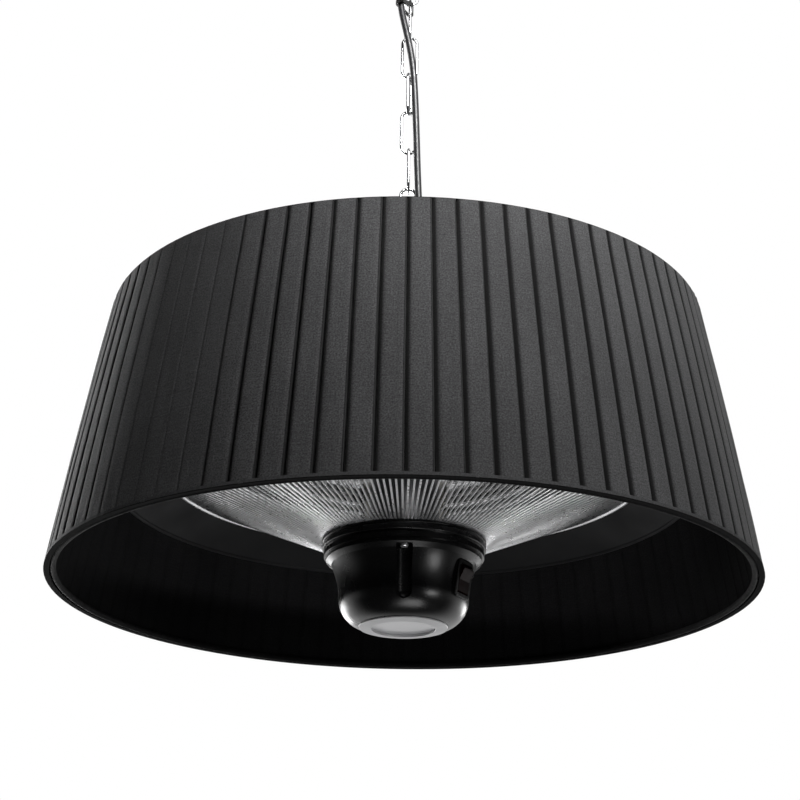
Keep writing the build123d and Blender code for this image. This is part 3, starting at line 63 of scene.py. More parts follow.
# Routes of the cable's three stretches, in millimetres, as the part has them
UPPER_ROUTE = [(-20, -12, -38), (-18.9, -12, -51), (-14.9, -11.3, -64.7), (-13.4, -11, -78.3)]
MIDDLE_ROUTE = [
    (-13.33, -10.99, -78.9),
    (-11.9, -11, -92),
    (-9.7, -11.3, -104.7),
    (-9.3, -11.5, -117),
]
LOWER_ROUTE = [
    (-9.28, -11.51, -117.6),
    (-8.2, -11.9, -128),
    (-4.5, -12.5, -146),
    (0.3, -12.4, -169),
    (3.8, -11.7, -193),
    (5.6, -10.9, -224),
    (7.1, -10.3, -260),
    (8.2, -10.0, -295),
    (9.8, -10.2, -333),
    (12.2, -11.0, -370),
    (16.6, -12.4, -405),
    (24.5, -14.4, -437),
    (32.6, -16.0, -458),
    (34, -16.2, -475),
]
# Each stretch: name, route, bodies, heights in millimetres between which it bends, length in metres
CABLES = (
    ("upper", UPPER_ROUTE, ("ceiling", "top_link"), -44, -74, 0.0408),
    ("middle", MIDDLE_ROUTE, ("top_link", "chain"), -84, -113, 0.0384),
    ("lower", LOWER_ROUTE, ("chain", HEATER), -370, -468, 0.3616),
)

# Curves are lists of (x, y), each with its two ends first.
# Where the columns of a pleat stand across it: close together by its folds
COLUMN_PLACES = [
    (0, 0), (1, 1), (0.083, 0.015), (0.167, 0.04), (0.25, 0.08), (0.333, 0.14), (0.417, 0.22),
    (0.5, 0.32), (0.583, 0.5), (0.667, 0.72), (0.75, 0.9), (0.833, 0.955), (0.917, 0.98),
]
# A pleat's section from fold to fold: 0 is the bottom of the fold, 1 the crest
PLEAT_SECTION = [
    (0, 0), (1, 0), (0.02, 0.08), (0.04, 0.32), (0.07, 0.68), (0.1, 0.8), (0.16, 0.9),
    (0.23, 0.97), (0.3, 1), (0.6, 0.99), (0.94, 0.955), (0.957, 0.7), (0.978, 0.1),
]
# How deep the folds are, in turns from the front over the right: nearly flat 31 to 50 degrees left
FOLD_PRESS = [
    (0, 1), (1, 1), (0.825, 1), (0.845, 0.5), (0.862, 0.15), (0.88, 0.09), (0.9, 0.09),
    (0.915, 0.16), (0.93, 0.6), (0.943, 1),
]
# How deep the folds are from the lower rim to the upper one
FOLD_RISE = [(0, 1), (1, 0.3), (0.93, 1)]
# Painted shade in a pleat: how light the cloth is painted from the bottom of a fold to its crest
FOLD_PAINTED_SHADE = [(0, 0), (1, 1), (0.5, 0.0), (0.7, 0.03), (0.8, 0.1), (0.88, 0.45), (0.94, 0.88)]
PLEAT_TONE_SPREAD = 0.05
FIRST_FOLD = math.radians(-0.3)
LINING_GAP = 0.7 * MM
# Flat width of the cloth, in girths of the shade at half its height
COVER_FULLNESS = 1.16
LINING_FULLNESS = 1.0

# A guard wire from the rim to the pod as (radius, height), in millimetres
WIRE_PROFILE = [
    (211.6, -595.6),
    (209.6, -594.7),
    (207.4, -595.2),
    (204.8, -597.9),
    (201.0, -601.5),
    (157.0, -620.75),
    (81.0, -653.95),
    (74.5, -656.5),
    (71.0, -657.1),
    (67.6, -656.7),
]

# The filament's arc in degrees; the rest of the ring holds the end caps
FILAMENT_START = 102.4
FILAMENT_ARC = 335.2
FILAMENT_STEPS = 168
COIL_SIDES = 5
HOOP_SIDES = 16

RIM_HEIGHT = -700 * MM
FLOOR_HEIGHT = -2.5
FLOOR_HALF_SIZE = 6
# The floor's tone for light, its tone for the camera and what it adds there
FLOOR_TONE = 0.12
FLOOR_TONE_SEEN = 0.62
FLOOR_GLOW_SEEN = 0.5
# Where mirrored light passes from its level before the heater to that behind it
WORLD_MIRROR_FADE = (-0.25, 0.55)
FLOOR_MIRROR_FADE = (0.6, 1.95)
# Area lights: name, place, aim, size in metres, watts
LIGHTS = (
    ("top", (0.14, -0.44, 0.04), (0.08, -0.26, -0.5), 0.2, 10.2),
    ("side", (1.2, -0.55, 0.1), (0.25, -0.1, -0.55), 0.35, 0.5),
    ("low_right", (0.95, -0.80, -1.02), (0.1, -0.1, -0.65), 0.3, 2.2),
    ("left", (-1.4, 0.4, -0.2), (-0.1, 0, -0.6), 0.5, 1.6),
    ("edge", (-1.25, 1.15, 0.0), (-0.25, -0.05, -0.6), 0.4, 42.0),
    ("rim_left", (-0.90, 1.40, -0.62), (-0.20, 0, -0.62), 1.0, 22.0),
    ("rim_right", (0.95, 1.20, -0.62), (0.20, 0, -0.66), 0.6, 9.0),
    ("under", (0.15, -0.35, -1.4), (0.0, 0, -0.66), 0.35, 1.5),
)


def length(name, default, description):
    return FloatProperty(
        name=name, description=description, default=default * MM, unit="LENGTH", precision=5
    )


def colour(name, default, description):
    return FloatVectorProperty(
        name=name, description=description, default=default, subtype="COLOR", size=3, min=0, max=1
    )


class ShadeSettings(bpy.types.PropertyGroup):
    pleats: IntProperty(name="Pleats", description="Pleats round the shade", default=88)
    bottom_radius: length("Bottom radius", 300.5, "Crest of a pleat at the lower rim")
    top_radius: length("Top radius", 261.5, "Crest of a pleat at the upper rim")
    bottom_height: length("Bottom height", -699.6, "Lower edge of the cloth")
    top_height: length("Top height", -463.6, "Upper edge of the cloth")
    pleat_depth: length("Pleat depth", 3.6, "From the crest of a pleat to the bottom of its fold")
    sag: length("Sag", 0.55, "How far the face of a pleat dips or swells")
    bulge: length("Bulge", 1.2, "How far the cover bows out at half height")
    cloth_thickness: length("Cloth thickness", 0.4, "Thickness of the cover's cloth")
    lining_depth: length("Lining depth", 0.5, "How far the folds show through on the inside")
    cloth: colour("Cloth", (0.056, 0.056, 0.0574), "Charcoal cover cloth")
    lining: colour("Lining", (0.0055, 0.0055, 0.0058), "Black lining")


class GuardSettings(bpy.types.PropertyGroup):
    wires: IntProperty(name="Wires", description="Radial wires of the guard", default=144)
    wire_radius: length("Wire radius", 0.9, "Radius of one radial wire")
    sides: IntProperty(name="Sides", description="Sides of a wire's section", default=8)


class LampSettings(bpy.types.PropertyGroup):
    ring_radius: length("Ring radius", 130, "Radius of the ring lamp's centre line")
    height: length("Height", -588, "Height of the ring lamp's centre line")
    coil_radius: length("Coil radius", 1.5, "Radius of the filament's coil")
    coil_wire: length("Coil wire", 0.35, "Radius of the filament's wire")
    coil_turns: IntProperty(name="Coil turns", description="Turns of the filament", default=330)
    supports: IntProperty(name="Supports", description="Loops that hold the filament", default=64)


class CableSettings(bpy.types.PropertyGroup):
    diameter: length("Diameter", 6.3, "Diameter of the rubber cable")
    rubber: colour("Rubber", (0.014, 0.014, 0.015), "Colour of the cable")


class StageSettings(bpy.types.PropertyGroup):
    distance: length("Distance", 1407.44, "How far before the heater's axis the camera stands")
    below_rim: length("Below rim", 382.25, "How far below the shade's lower rim the camera is")
    aside: length("Aside", -5.16, "How far to the right of the axis the camera stands")
    pitch: FloatProperty(name="Pitch", description="Tilt of the camera", default=21.57)
    roll: FloatProperty(name="Roll", description="Roll of the camera", default=0.72)
    lens: FloatProperty(name="Lens", description="Focal length in millimetres", default=76.87)
    world_level: FloatProperty(name="World", description="Light from all round", default=0.03)
    gloss_front: FloatProperty(
        name="Gloss before", description="What gloss mirrors on the camera's side", default=0.03
    )
    gloss_behind: FloatProperty(
        name="Gloss behind", description="What gloss mirrors behind the heater", default=1.0
    )


class HeaterSettings(bpy.types.PropertyGroup):
    shade: PointerProperty(type=ShadeSettings)
    guard: PointerProperty(type=GuardSettings)
    lamp: PointerProperty(type=LampSettings)
    cable: PointerProperty(type=CableSettings)
    stage: PointerProperty(type=StageSettings)


class Wiring:
    """Adds nodes to a tree and links them."""

    def __init__(self, tree):
        self.tree = tree

    def feed(self, socket, value):
        if isinstance(value, bpy.types.NodeSocket):
            self.tree.links.new(value, socket)
        elif value is not None:
            socket.default_value = value

    def node(self, kind, *inputs, named=None, **settings):
        node = self.tree.nodes.new(kind)
        for name, value in settings.items():
            setattr(node, name, value)
        for index, value in enumerate(inputs):
            self.feed(node.inputs[index], value)
        for name, value in (named or {}).items():
            self.feed(node.inputs[name], value)
        return node

    def add(self, kind, *inputs, out=0, **settings):
        return self.node(kind, *inputs, **settings).outputs[out]

    def math(self, operation, *values):
        return self.add("ShaderNodeMath", *values, operation=operation)

    def vector(self, operation, *values):
        return self.add("ShaderNodeVectorMath", *values, operation=operation)

    def combine(self, x=0.0, y=0.0, z=0.0):
        return self.add("ShaderNodeCombineXYZ", x, y, z)

    def separate(self, vector):
        return self.node("ShaderNodeSeparateXYZ", vector).outputs

    def vector_length(self, vector):
        return self.add("ShaderNodeVectorMath", vector, operation="LENGTH", out=1)

    def noise(self, place, scale, detail):
        named = {"Vector": place, "Scale": scale, "Detail": detail}
        return self.add("ShaderNodeTexNoise", named=named)

    def spread(self, value, low, high, from_low=0.0, from_high=1.0):
        return self.add("ShaderNodeMapRange", value, from_low, from_high, low, high)

    def curve(self, value, points):
        """A float curve through (x, y) points, its two ends first."""
        node = self.node("ShaderNodeFloatCurve", None, value)
        line = node.mapping.curves[0]
        for index, (x, y) in enumerate(points):
            if index < 2:
                line.points[index].location = (x, y)
            else:
                line.points.new(x, y)
        for point in line.points:
            point.handle_type = "VECTOR"
        node.mapping.update()
        return node.outputs[0]

    def mix(self, share, first, second):
        node = self.node("ShaderNodeMix", share, data_type="RGBA")
        self.feed(node.inputs[6], first)
        self.feed(node.inputs[7], second)
        return node.outputs[2]

    def tint(self, base, amount):
        """A colour made lighter or darker by a value."""
        return self.vector("SCALE", tuple(base), None, None, amount)

    def ring(self, sides, radius):
        return self.add("GeometryNodeCurvePrimitiveCircle", sides, None, None, None, radius)


# Finishes


def new_finish(name, roughness, metallic=0.0, **sockets):
    """An empty material with its principled shader; further sockets are set by name."""
    material = bpy.data.materials.new(name)
    material.use_nodes = True
    tree = material.node_tree
    tree.nodes.clear()
    wiring = Wiring(tree)
    shader = wiring.node("ShaderNodeBsdfPrincipled")
    wiring.node("ShaderNodeOutputMaterial", shader.outputs[0])
    shader.inputs["Roughness"].default_value = roughness
    shader.inputs["Metallic"].default_value = metallic
    for label, value in sockets.items():
        shader.inputs[label.replace("_", " ")].default_value = value
    return material, wiring, shader.inputs


def bump(wiring, inputs, height, depth):
    node = wiring.node("ShaderNodeBump")
    node.inputs["Strength"].default_value = 1.0
    node.inputs["Distance"].default_value = depth
    wiring.feed(node.inputs["Height"], height)
    wiring.feed(inputs["Normal"], node.outputs[0])


def surface(name, base, roughness, metallic, specular, blotch, rough_spread, grain):
    """A rigid surface with blotches of tone, uneven gloss and a grain, on object coordinates."""
    material, wiring, inputs = new_finish(name, roughness, metallic, Specular_IOR_Level=specular)
    place = wiring.add("ShaderNodeTexCoord", out="Object")
    tone = wiring.noise(place, blotch[0], 5.0)
    level = wiring.spread(tone, 1 - blotch[1] * 2, 1 + blotch[1] * 2, 0.25, 0.75)
    wiring.feed(inputs["Base Color"], wiring.tint(base, level))
    wear = wiring.noise(place, blotch[0] * 3.1, 6.0)
    low, high = max(0.02, roughness - rough_spread), min(1.0, roughness + rough_spread)
    wiring.feed(inputs["Roughness"], wiring.spread(wear, low, high, 0.3, 0.7))
    if grain:
        bump(wiring, inputs, wiring.noise(place, grain[0], 3.0), grain[1])
    return material


def rolled_wire(name, base, roughness, dark_radius=0.0):
    """Bright drawn wire with dull spots; inside the given radius its colour is near black."""
    material, wiring, inputs = new_finish(name, roughness, 0.85)
    place = wiring.add("ShaderNodeTexCoord", out="Object")
    across, along, _ = wiring.separate(place)
    # Near black inside the given radius, the wire's own colour beyond it
    beyond_dark = wiring.vector_length(wiring.combine(across, along))
    beyond_dark = wiring.math("GREATER_THAN", beyond_dark, dark_radius)
    level = wiring.spread(wiring.noise(place, 60.0, 5.0), 0.88, 1.12, 0.25, 0.75)
    level = wiring.math("MULTIPLY", level, wiring.spread(beyond_dark, 0.012, 1.0))
    wiring.feed(inputs["Base Color"], wiring.tint(base, level))
    wear = wiring.noise(place, 190.0, 6.0)
    rough = wiring.spread(wear, roughness - 0.05, roughness + 0.05, 0.3, 0.7)
    wiring.feed(inputs["Roughness"], rough)
    bump(wiring, inputs, wiring.noise(place, 1500.0, 3.0), 0.00001)
    return material


def woven(name, base, thread, fold_dark, gloss, sheen=0.0):
    """Plain-weave cloth whose threads follow the cloth_place attribute, with painted shade that
    darkens the bottoms of its folds.
    """
    material, wiring, inputs = new_finish(
        name, 0.95, Specular_IOR_Level=gloss, Sheen_Weight=sheen, Sheen_Roughness=0.5
    )
    place = wiring.add("ShaderNodeAttribute", attribute_name="cloth_place", out="Vector")
    across, up, section = wiring.separate(place)
    flat = wiring.vector("MULTIPLY", place, (1.0, 1.0, 0.0))
    warp = wiring.math("SINE", wiring.math("MULTIPLY", across, RING_LENGTH / thread))
    weft = wiring.math("SINE", wiring.math("MULTIPLY", up, RING_LENGTH / thread))
    threads = wiring.math("MULTIPLY", warp, weft)
    slub_up = wiring.noise(wiring.vector("MULTIPLY", place, (1.0, 0.14, 0.0)), 520.0, 3.0)
    slub_across = wiring.noise(wiring.vector("MULTIPLY", place, (0.14, 1.0, 0.0)), 520.0, 3.0)
    slubs = wiring.math("ADD", slub_up, slub_across)
    speckle = wiring.noise(flat, 780.0, 2.0)
    level = wiring.spread(slubs, 0.86, 1.14, 0.7, 1.3)
    level = wiring.math("MULTIPLY", level, wiring.spread(speckle, 0.55, 1.5, 0.3, 0.7))
    cloud = wiring.noise(flat, 9.0, 4.0)
    level = wiring.math("MULTIPLY", level, wiring.spread(cloud, 0.86, 1.14, 0.3, 0.7))
    pleat = wiring.add("ShaderNodeAttribute", attribute_name="pleat_tone", out="Fac")
    pleat_level = wiring.spread(pleat, 1 - PLEAT_TONE_SPREAD, 1 + PLEAT_TONE_SPREAD)
    level = wiring.math("MULTIPLY", level, pleat_level)
    # Painted shade: the colour darkens towards the bottom of each fold
    fold = wiring.curve(section, [(x, fold_dark + (1 - fold_dark) * y) for x, y in FOLD_PAINTED_SHADE])
    level = wiring.math("MULTIPLY", level, fold)
    wiring.feed(inputs["Base Color"], wiring.tint(base, level))
    relief = wiring.math("ADD", wiring.math("MULTIPLY", threads, 0.4), slubs)
    bump(wiring, inputs, relief, 0.00012)
    return material


def hem(name, shade):
    """The folded hem: the cover's cloth outside, near black inside and along the shade's lowest 0.3
    millimetres.
    """
    material, wiring, inputs = new_finish(name, 0.95, Specular_IOR_Level=0.05)
    place = wiring.add("ShaderNodeTexCoord", out="Object")
    x, y, height = wiring.separate(place)
    radius = wiring.vector_length(wiring.combine(x, y))
    rise = wiring.math("SUBTRACT", height, shade.bottom_height)
    share = wiring.math("DIVIDE", rise, shade.top_height - shade.bottom_height)
    crest = wiring.math("MULTIPLY", share, shade.top_radius - shade.bottom_radius)
    beyond = wiring.math("SUBTRACT", radius, wiring.math("ADD", crest, shade.bottom_radius))
    skin, dark_band_height = 0.1 * MM, 0.3 * MM
    # Cloth colour only outside and above the lowest 0.3 mm; near black elsewhere
    outside = wiring.math("GREATER_THAN", beyond, -skin)
    outside = wiring.math("MULTIPLY", outside, wiring.math("GREATER_THAN", rise, dark_band_height))
    speckle = wiring.noise(place, 800.0, 2.0)
    level = wiring.spread(speckle, 0.75, 1.25, 0.3, 0.7)
    near_black = wiring.tint((0.0035, 0.0035, 0.0037), level)
    wiring.feed(inputs["Base Color"], wiring.mix(outside, near_black, wiring.tint(shade.cloth, level)))
    bump(wiring, inputs, speckle, 0.0001)
    return material


def clear_glass(name, tint, roughness):
    """Thin clear glass with faint ripples."""
    material, wiring, inputs = new_finish(name, roughness, Transmission_Weight=1.0, IOR=1.45)
    place = wiring.add("ShaderNodeTexCoord", out="Object")
    level = wiring.spread(wiring.noise(place, 30.0, 3.0), 0.96, 1.0, 0.3, 0.7)
    wiring.feed(inputs["Base Color"], wiring.tint(tint, level))
    bump(wiring, inputs, wiring.noise(place, 120.0, 2.0), 0.00002)
    return material


# Rigid finishes: colour, roughness, metallic, specular level, blotches as (scale, strength),
# spread of the roughness, grain as (scale, depth in metres)
RIGID_FINISHES = {
    "zinc_steel": ((0.60, 0.605, 0.61), 0.3, 1.0, 0.5, (140.0, 0.12), 0.1, (700.0, 0.00002)),
    "chain_steel": ((0.66, 0.665, 0.67), 0.2, 1.0, 0.5, (160.0, 0.14), 0.09, (500.0, 0.00003)),
    "black_nylon": ((0.011, 0.011, 0.011), 0.45, 0.0, 0.5, (60.0, 0.1), 0.08, (900.0, 0.00004)),
    "frame_paint": ((0.02, 0.02, 0.021), 0.5, 0.0, 0.5, (22.0, 0.1), 0.08, (1000.0, 0.00006)),
    "ring_sleeve": ((0.003, 0.003, 0.0032), 0.8, 0.0, 0.1, (60.0, 0.1), 0.08, (900.0, 0.00005)),
    "canopy_paint": ((0.016, 0.016, 0.017), 0.38, 0.0, 0.5, (20.0, 0.08), 0.06, (1200.0, 0.00005)),
    "hood_paint": ((0.02, 0.02, 0.0212), 0.6, 0.0, 0.2, (9.0, 0.1), 0.07, (800.0, 0.00005)),
    "polished_dish": ((0.80, 0.80, 0.81), 0.12, 1.0, 0.5, (12.0, 0.05), 0.05, (75.0, 0.00035)),
    "column_sheet": ((0.24, 0.24, 0.245), 0.38, 1.0, 0.5, (16.0, 0.07), 0.08, None),
    "ceramic": ((0.80, 0.77, 0.71), 0.6, 0.0, 0.5, (45.0, 0.07), 0.08, (700.0, 0.00006)),
    "filament": ((0.10, 0.085, 0.075), 0.5, 0.7, 0.5, (200.0, 0.15), 0.1, (900.0, 0.00003)),
    "pod_black": ((0.0035, 0.0035, 0.0038), 0.29, 0.0, 0.5, (14.0, 0.1), 0.05, (1100.0, 0.00003)),
    "switch_black": ((0.003, 0.003, 0.003), 0.36, 0.0, 0.2, (80.0, 0.1), 0.06, (900.0, 0.00002)),
    "rocker_red": ((0.005, 0.0006, 0.0006), 0.45, 0.0, 0.04, (120.0, 0.15), 0.05, (700.0, 0.00002)),
    "satin_silver": ((0.50, 0.50, 0.51), 0.4, 0.22, 0.5, (26.0, 0.04), 0.05, (1300.0, 0.00003)),
    "lens_white": ((0.64, 0.64, 0.66), 0.22, 0.0, 0.5, (40.0, 0.015), 0.04, None),
    "board_white": ((0.74, 0.75, 0.73), 0.5, 0.0, 0.5, (60.0, 0.05), 0.08, (800.0, 0.00003)),
    "cream_block": ((0.74, 0.71, 0.64), 0.45, 0.0, 0.5, (50.0, 0.05), 0.08, (700.0, 0.00004)),
    "lead_sleeve": ((0.62, 0.60, 0.56), 0.6, 0.0, 0.5, (90.0, 0.1), 0.08, (1500.0, 0.00008)),
}
WIRE_COLOUR = (0.86, 0.86, 0.87)
# Inside this radius the guard's rings are near black
DARK_RADIUS = 72 * MM

finishes = {}


def make_finishes(settings):
    shade, cable = settings.shade, settings.cable
    finishes.update(
        cover_cloth=woven("cover_cloth", shade.cloth, 0.0009, 0.05, 0.1, sheen=0.06),
        lining_cloth=woven("lining_cloth", shade.lining, 0.0007, 0.85, 0.03),
        hem_cloth=hem("hem_cloth", shade),
        bright_wire=rolled_wire("bright_wire", WIRE_COLOUR, 0.3),
        ring_wire=rolled_wire("ring_wire", WIRE_COLOUR, 0.3, DARK_RADIUS),
        cable_rubber=surface(
            "cable_rubber", cable.rubber, 0.42, 0.0, 0.5, (110.0, 0.12), 0.08, (1200.0, 0.00004)
        ),
        quartz=clear_glass("quartz", (0.97, 0.975, 0.98), 0.03),
    )
    for name, values in RIGID_FINISHES.items():
        finishes[name] = surface(name, *values)


CAD_FINISHES = {
    "zinc_steel": "ceiling_plate ceiling_hook hook_nuts hanging_eye hanger_stem stem_nuts "
    "lid_screws hanger_bracket bracket_bolts reflector_spacers",
    "canopy_paint": "ceiling_canopy",
    "cable_rubber": "supply_lead cable_grommet",
    "cream_block": "supply_terminal terminal_block",
    "chain_steel": "chain_link_1 chain_link_2 chain_link_3 chain_link_4 chain_link_5 chain_link_6 "
    "chain_link_7 chain_link_8 chain_link_9",
    "black_nylon": "cable_tie_upper cable_tie_lower cable_gland",
    "hem_cloth": "shade_top_binding shade_bottom_binding",
    "ring_sleeve": "shade_top_ring shade_bottom_ring",
    "frame_paint": "shade_spider top_housing housing_lid",
    "hood_paint": "hood",
    "polished_dish": "reflector",
    "quartz": "lamp_tube",
    "ceramic": "lamp_end_caps",
    "bright_wire": "lamp_clips guard_clips pod_screws",
    "ring_wire": "guard_rings",
    "column_sheet": "centre_column",
    "pod_black": "pod_collar pod_housing",
    "satin_silver": "pod_base_ring",
    "lens_white": "pod_lens",
    "board_white": "led_board",
    "switch_black": "switch_frame thermal_cutout",
    "rocker_red": "rocker",
    "lead_sleeve": "inner_leads",
}


# Making pieces


def as_mesh(piece, name):
    """The evaluated piece as a plain mesh object, in place of the piece."""
    bpy.context.view_layer.update()
    graph = bpy.context.evaluated_depsgraph_get()
    mesh = bpy.data.meshes.new_from_object(piece.evaluated_get(graph), depsgraph=graph)
    data = piece.data
    bpy.data.objects.remove(piece)
    if isinstance(data, bpy.types.Curve):
        bpy.data.curves.remove(data)
    else:
        bpy.data.meshes.remove(data)
    mesh.name = name
    made = bpy.data.objects.new(name, mesh)
    bpy.context.scene.collection.objects.link(made)
    return made


def smooth(piece, degrees):
    piece.data.shade_smooth()
    piece.data.set_sharp_from_angle(angle=math.radians(degrees))
    return piece


def empty_mesh(name):
    piece = bpy.data.objects.new(name, bpy.data.meshes.new(name))
    bpy.context.scene.collection.objects.link(piece)
    return piece


def line_curve(name, points, kind="POLY"):
    """A curve object through points given in metres."""
    data = bpy.data.curves.new(name, "CURVE")
    data.dimensions = "3D"
    spline = data.splines.new(kind)
    spline.points.add(len(points) - 1)
    for point, place in zip(spline.points, points):
        point.co = (*place, 1)
    if kind == "NURBS":
        spline.order_u = 3
        spline.use_endpoint_u = True
        spline.resolution_u = 8
    piece = bpy.data.objects.new(name, data)
    bpy.context.scene.collection.objects.link(piece)
    return piece


def new_tree(name, *inputs):
    """A geometry tree with named inputs, each (name, kind, default)."""
    tree = bpy.data.node_groups.new(name, "GeometryNodeTree")
    sockets = tree.interface
    sockets.new_socket("Geometry", in_out="INPUT", socket_type="NodeSocketGeometry")
    for label, kind, default in inputs:
        socket = sockets.new_socket(label, in_out="INPUT", socket_type="NodeSocket" + kind)
        if default is not None:
            socket.default_value = default
    sockets.new_socket("Geometry", in_out="OUTPUT", socket_type="NodeSocketGeometry")
    wiring = Wiring(tree)
    start = wiring.node("NodeGroupInput")
    return tree, wiring, {socket.name: socket for socket in start.outputs}


def close_tree(wiring, geometry, material):
    real = wiring.add("GeometryNodeRealizeInstances", geometry)
    painted = wiring.add("GeometryNodeSetMaterial", real, None, material)
    wiring.node("NodeGroupOutput", painted)


def grow(piece, tree, name, **values):
    """Runs a geometry tree on a piece and keeps the result as a plain mesh."""
    modifier = piece.modifiers.new(tree.name, "NODES")
    modifier.node_group = tree
    for item in tree.interface.items_tree:
        key = item.name.lower().replace(" ", "_")
        if item.in_out == "INPUT" and key in values:
            modifier[item.identifier] = values[key]
    return as_mesh(piece, name)


def pleated_cone_tree():
    """Cloth pleated round a cone; float curves give a pleat's section and how deep it is."""
    tree, w, given = new_tree(
        "pleated_cone",
        ("Pleats", "Int", 88),
        ("Columns", "Int", 12),
        ("Rows", "Int", 20),
        ("Bottom radius", "Float", 0.3),
        ("Top radius", "Float", 0.26),
        ("Bottom height", "Float", -0.7),
        ("Top height", "Float", -0.46),
        ("Depth", "Float", 0.002),
        ("Bulge", "Float", 0.0),
        ("Sag", "Float", 0.0),
        ("First fold", "Float", 0.0),
        ("Wander", "Float", 0.006),
        ("Seed", "Int", 4),
        ("Cloth", "Material", None),
    )
    columns = w.math("MULTIPLY", given["Pleats"], given["Columns"])
    across_points = w.math("ADD", columns, 1)
    grid = w.node("GeometryNodeMeshGrid", 1.0, 1.0, across_points, given["Rows"])
    place = w.separate(w.add("GeometryNodeInputPosition"))
    share, up = w.math("ADD", place[0], 0.5), w.math("ADD", place[1], 0.5)
    count = w.math("MULTIPLY", share, given["Pleats"])
    # The nudge keeps a pleat's first column out of the pleat before it
    count = w.math("ADD", count, 0.0001)
    number = w.math("FLOOR", count)
    phase = w.curve(w.math("FRACT", count), COLUMN_PLACES)
    section = w.curve(phase, PLEAT_SECTION)
    turn = w.math("DIVIDE", w.math("ADD", number, phase), given["Pleats"])
    angle = w.math("MULTIPLY", turn, RING_LENGTH)
    ring = w.combine(w.math("SINE", angle), w.math("COSINE", angle), w.math("MULTIPLY", up, 0.1))
    seeded = w.vector("ADD", ring, w.combine(0, 0, given["Seed"]))
    bend = w.math("SUBTRACT", w.noise(seeded, 9.0, 1.0), 0.5)
    angle = w.math("ADD", angle, w.math("MULTIPLY", bend, given["Wander"]))
    angle = w.math("ADD", angle, given["First fold"])
    crest = w.add("ShaderNodeMix", up, None, given["Bottom radius"], given["Top radius"])
    bow = w.math("SINE", w.math("MULTIPLY", up, math.pi))
    crest = w.math("ADD", crest, w.math("MULTIPLY", bow, given["Bulge"]))
    pressed = w.curve(turn, FOLD_PRESS)
    section = w.math("SUBTRACT", 1, w.math("MULTIPLY", w.math("SUBTRACT", 1, section), pressed))
    swell = w.spread(w.noise(seeded, 16.0, 1.0), 0.75, 1.1, 0.3, 0.7)
    drop = w.math("MULTIPLY", w.math("SUBTRACT", 1, section), given["Depth"])
    drop = w.math("MULTIPLY", drop, w.curve(up, FOLD_RISE))
    radius = w.math("SUBTRACT", crest, w.math("MULTIPLY", drop, swell))
    belly = w.math("SINE", w.math("MULTIPLY", phase, math.pi))
    dip = w.spread(w.noise(w.vector("ADD", seeded, (3.1, 0, 0)), 22.0, 1.0), -1, 0.4, 0.3, 0.7)
    dip = w.math("MULTIPLY", w.math("MULTIPLY", belly, dip), given["Sag"])
    radius = w.math("ADD", radius, dip)
    height = w.add("ShaderNodeMix", up, None, given["Bottom height"], given["Top height"])
    spot = w.combine(
        w.math("MULTIPLY", w.math("SINE", angle), radius),
        w.math("MULTIPLY", w.math("COSINE", angle), w.math("MULTIPLY", radius, -1)),
        height,
    )
    cloth_place = w.combine(
        w.math("MULTIPLY", turn, w.math("MULTIPLY", given["Bottom radius"], RING_LENGTH)),
        w.math("SUBTRACT", height, given["Bottom height"]),
        section,
    )
    stored = w.node(
        "GeometryNodeStoreNamedAttribute",
        grid.outputs[0],
        data_type="FLOAT_VECTOR",
        domain="POINT",
        named={"Name": "cloth_place", "Value": cloth_place},
    ).outputs[0]
    whole = w.add("FunctionNodeFloatToInt", number)
    tone = w.node("FunctionNodeRandomValue", data_type="FLOAT", named={"ID": whole})
    w.feed(tone.inputs["Seed"], given["Seed"])
    stored = w.node(
        "GeometryNodeStoreNamedAttribute",
        stored,
        data_type="FLOAT",
        domain="POINT",
        named={"Name": "pleat_tone", "Value": tone.outputs[1]},
    ).outputs[0]
    formed = w.add("GeometryNodeSetPosition", stored, None, spot)
    joined = w.add("GeometryNodeMergeByDistance", formed, None, 0.00002)
    close_tree(w, joined, given["Cloth"])
    return tree


def spun_wires_tree():
    """Copies of a bent wire, swept round and turned about the vertical axis."""
    tree, w, given = new_tree(
        "spun_wires",
        ("Count", "Int", 144),
        ("Wire radius", "Float", 0.0009),
        ("Sides", "Int", 8),
        ("First turn", "Float", 0.0),
        ("Metal", "Material", None),
    )
    rim = w.ring(given["Sides"], given["Wire radius"])
    wire = w.node("GeometryNodeCurveToMesh", given["Geometry"], rim, named={"Fill Caps": True})
    wire = w.add("GeometryNodeSetShadeSmooth", wire.outputs[0])
    spots = w.add("GeometryNodeMeshLine", given["Count"], None, None, (0, 0, 0))
    step = w.math("DIVIDE", RING_LENGTH, given["Count"])
    turn = w.math("MULTIPLY", w.add("GeometryNodeInputIndex"), step)
    turn = w.math("ADD", turn, given["First turn"])
    copies = w.node(
        "GeometryNodeInstanceOnPoints",
        spots,
        named={"Instance": wire, "Rotation": w.combine(0, 0, turn)},
    ).outputs[0]
    close_tree(w, copies, given["Metal"])
    return tree


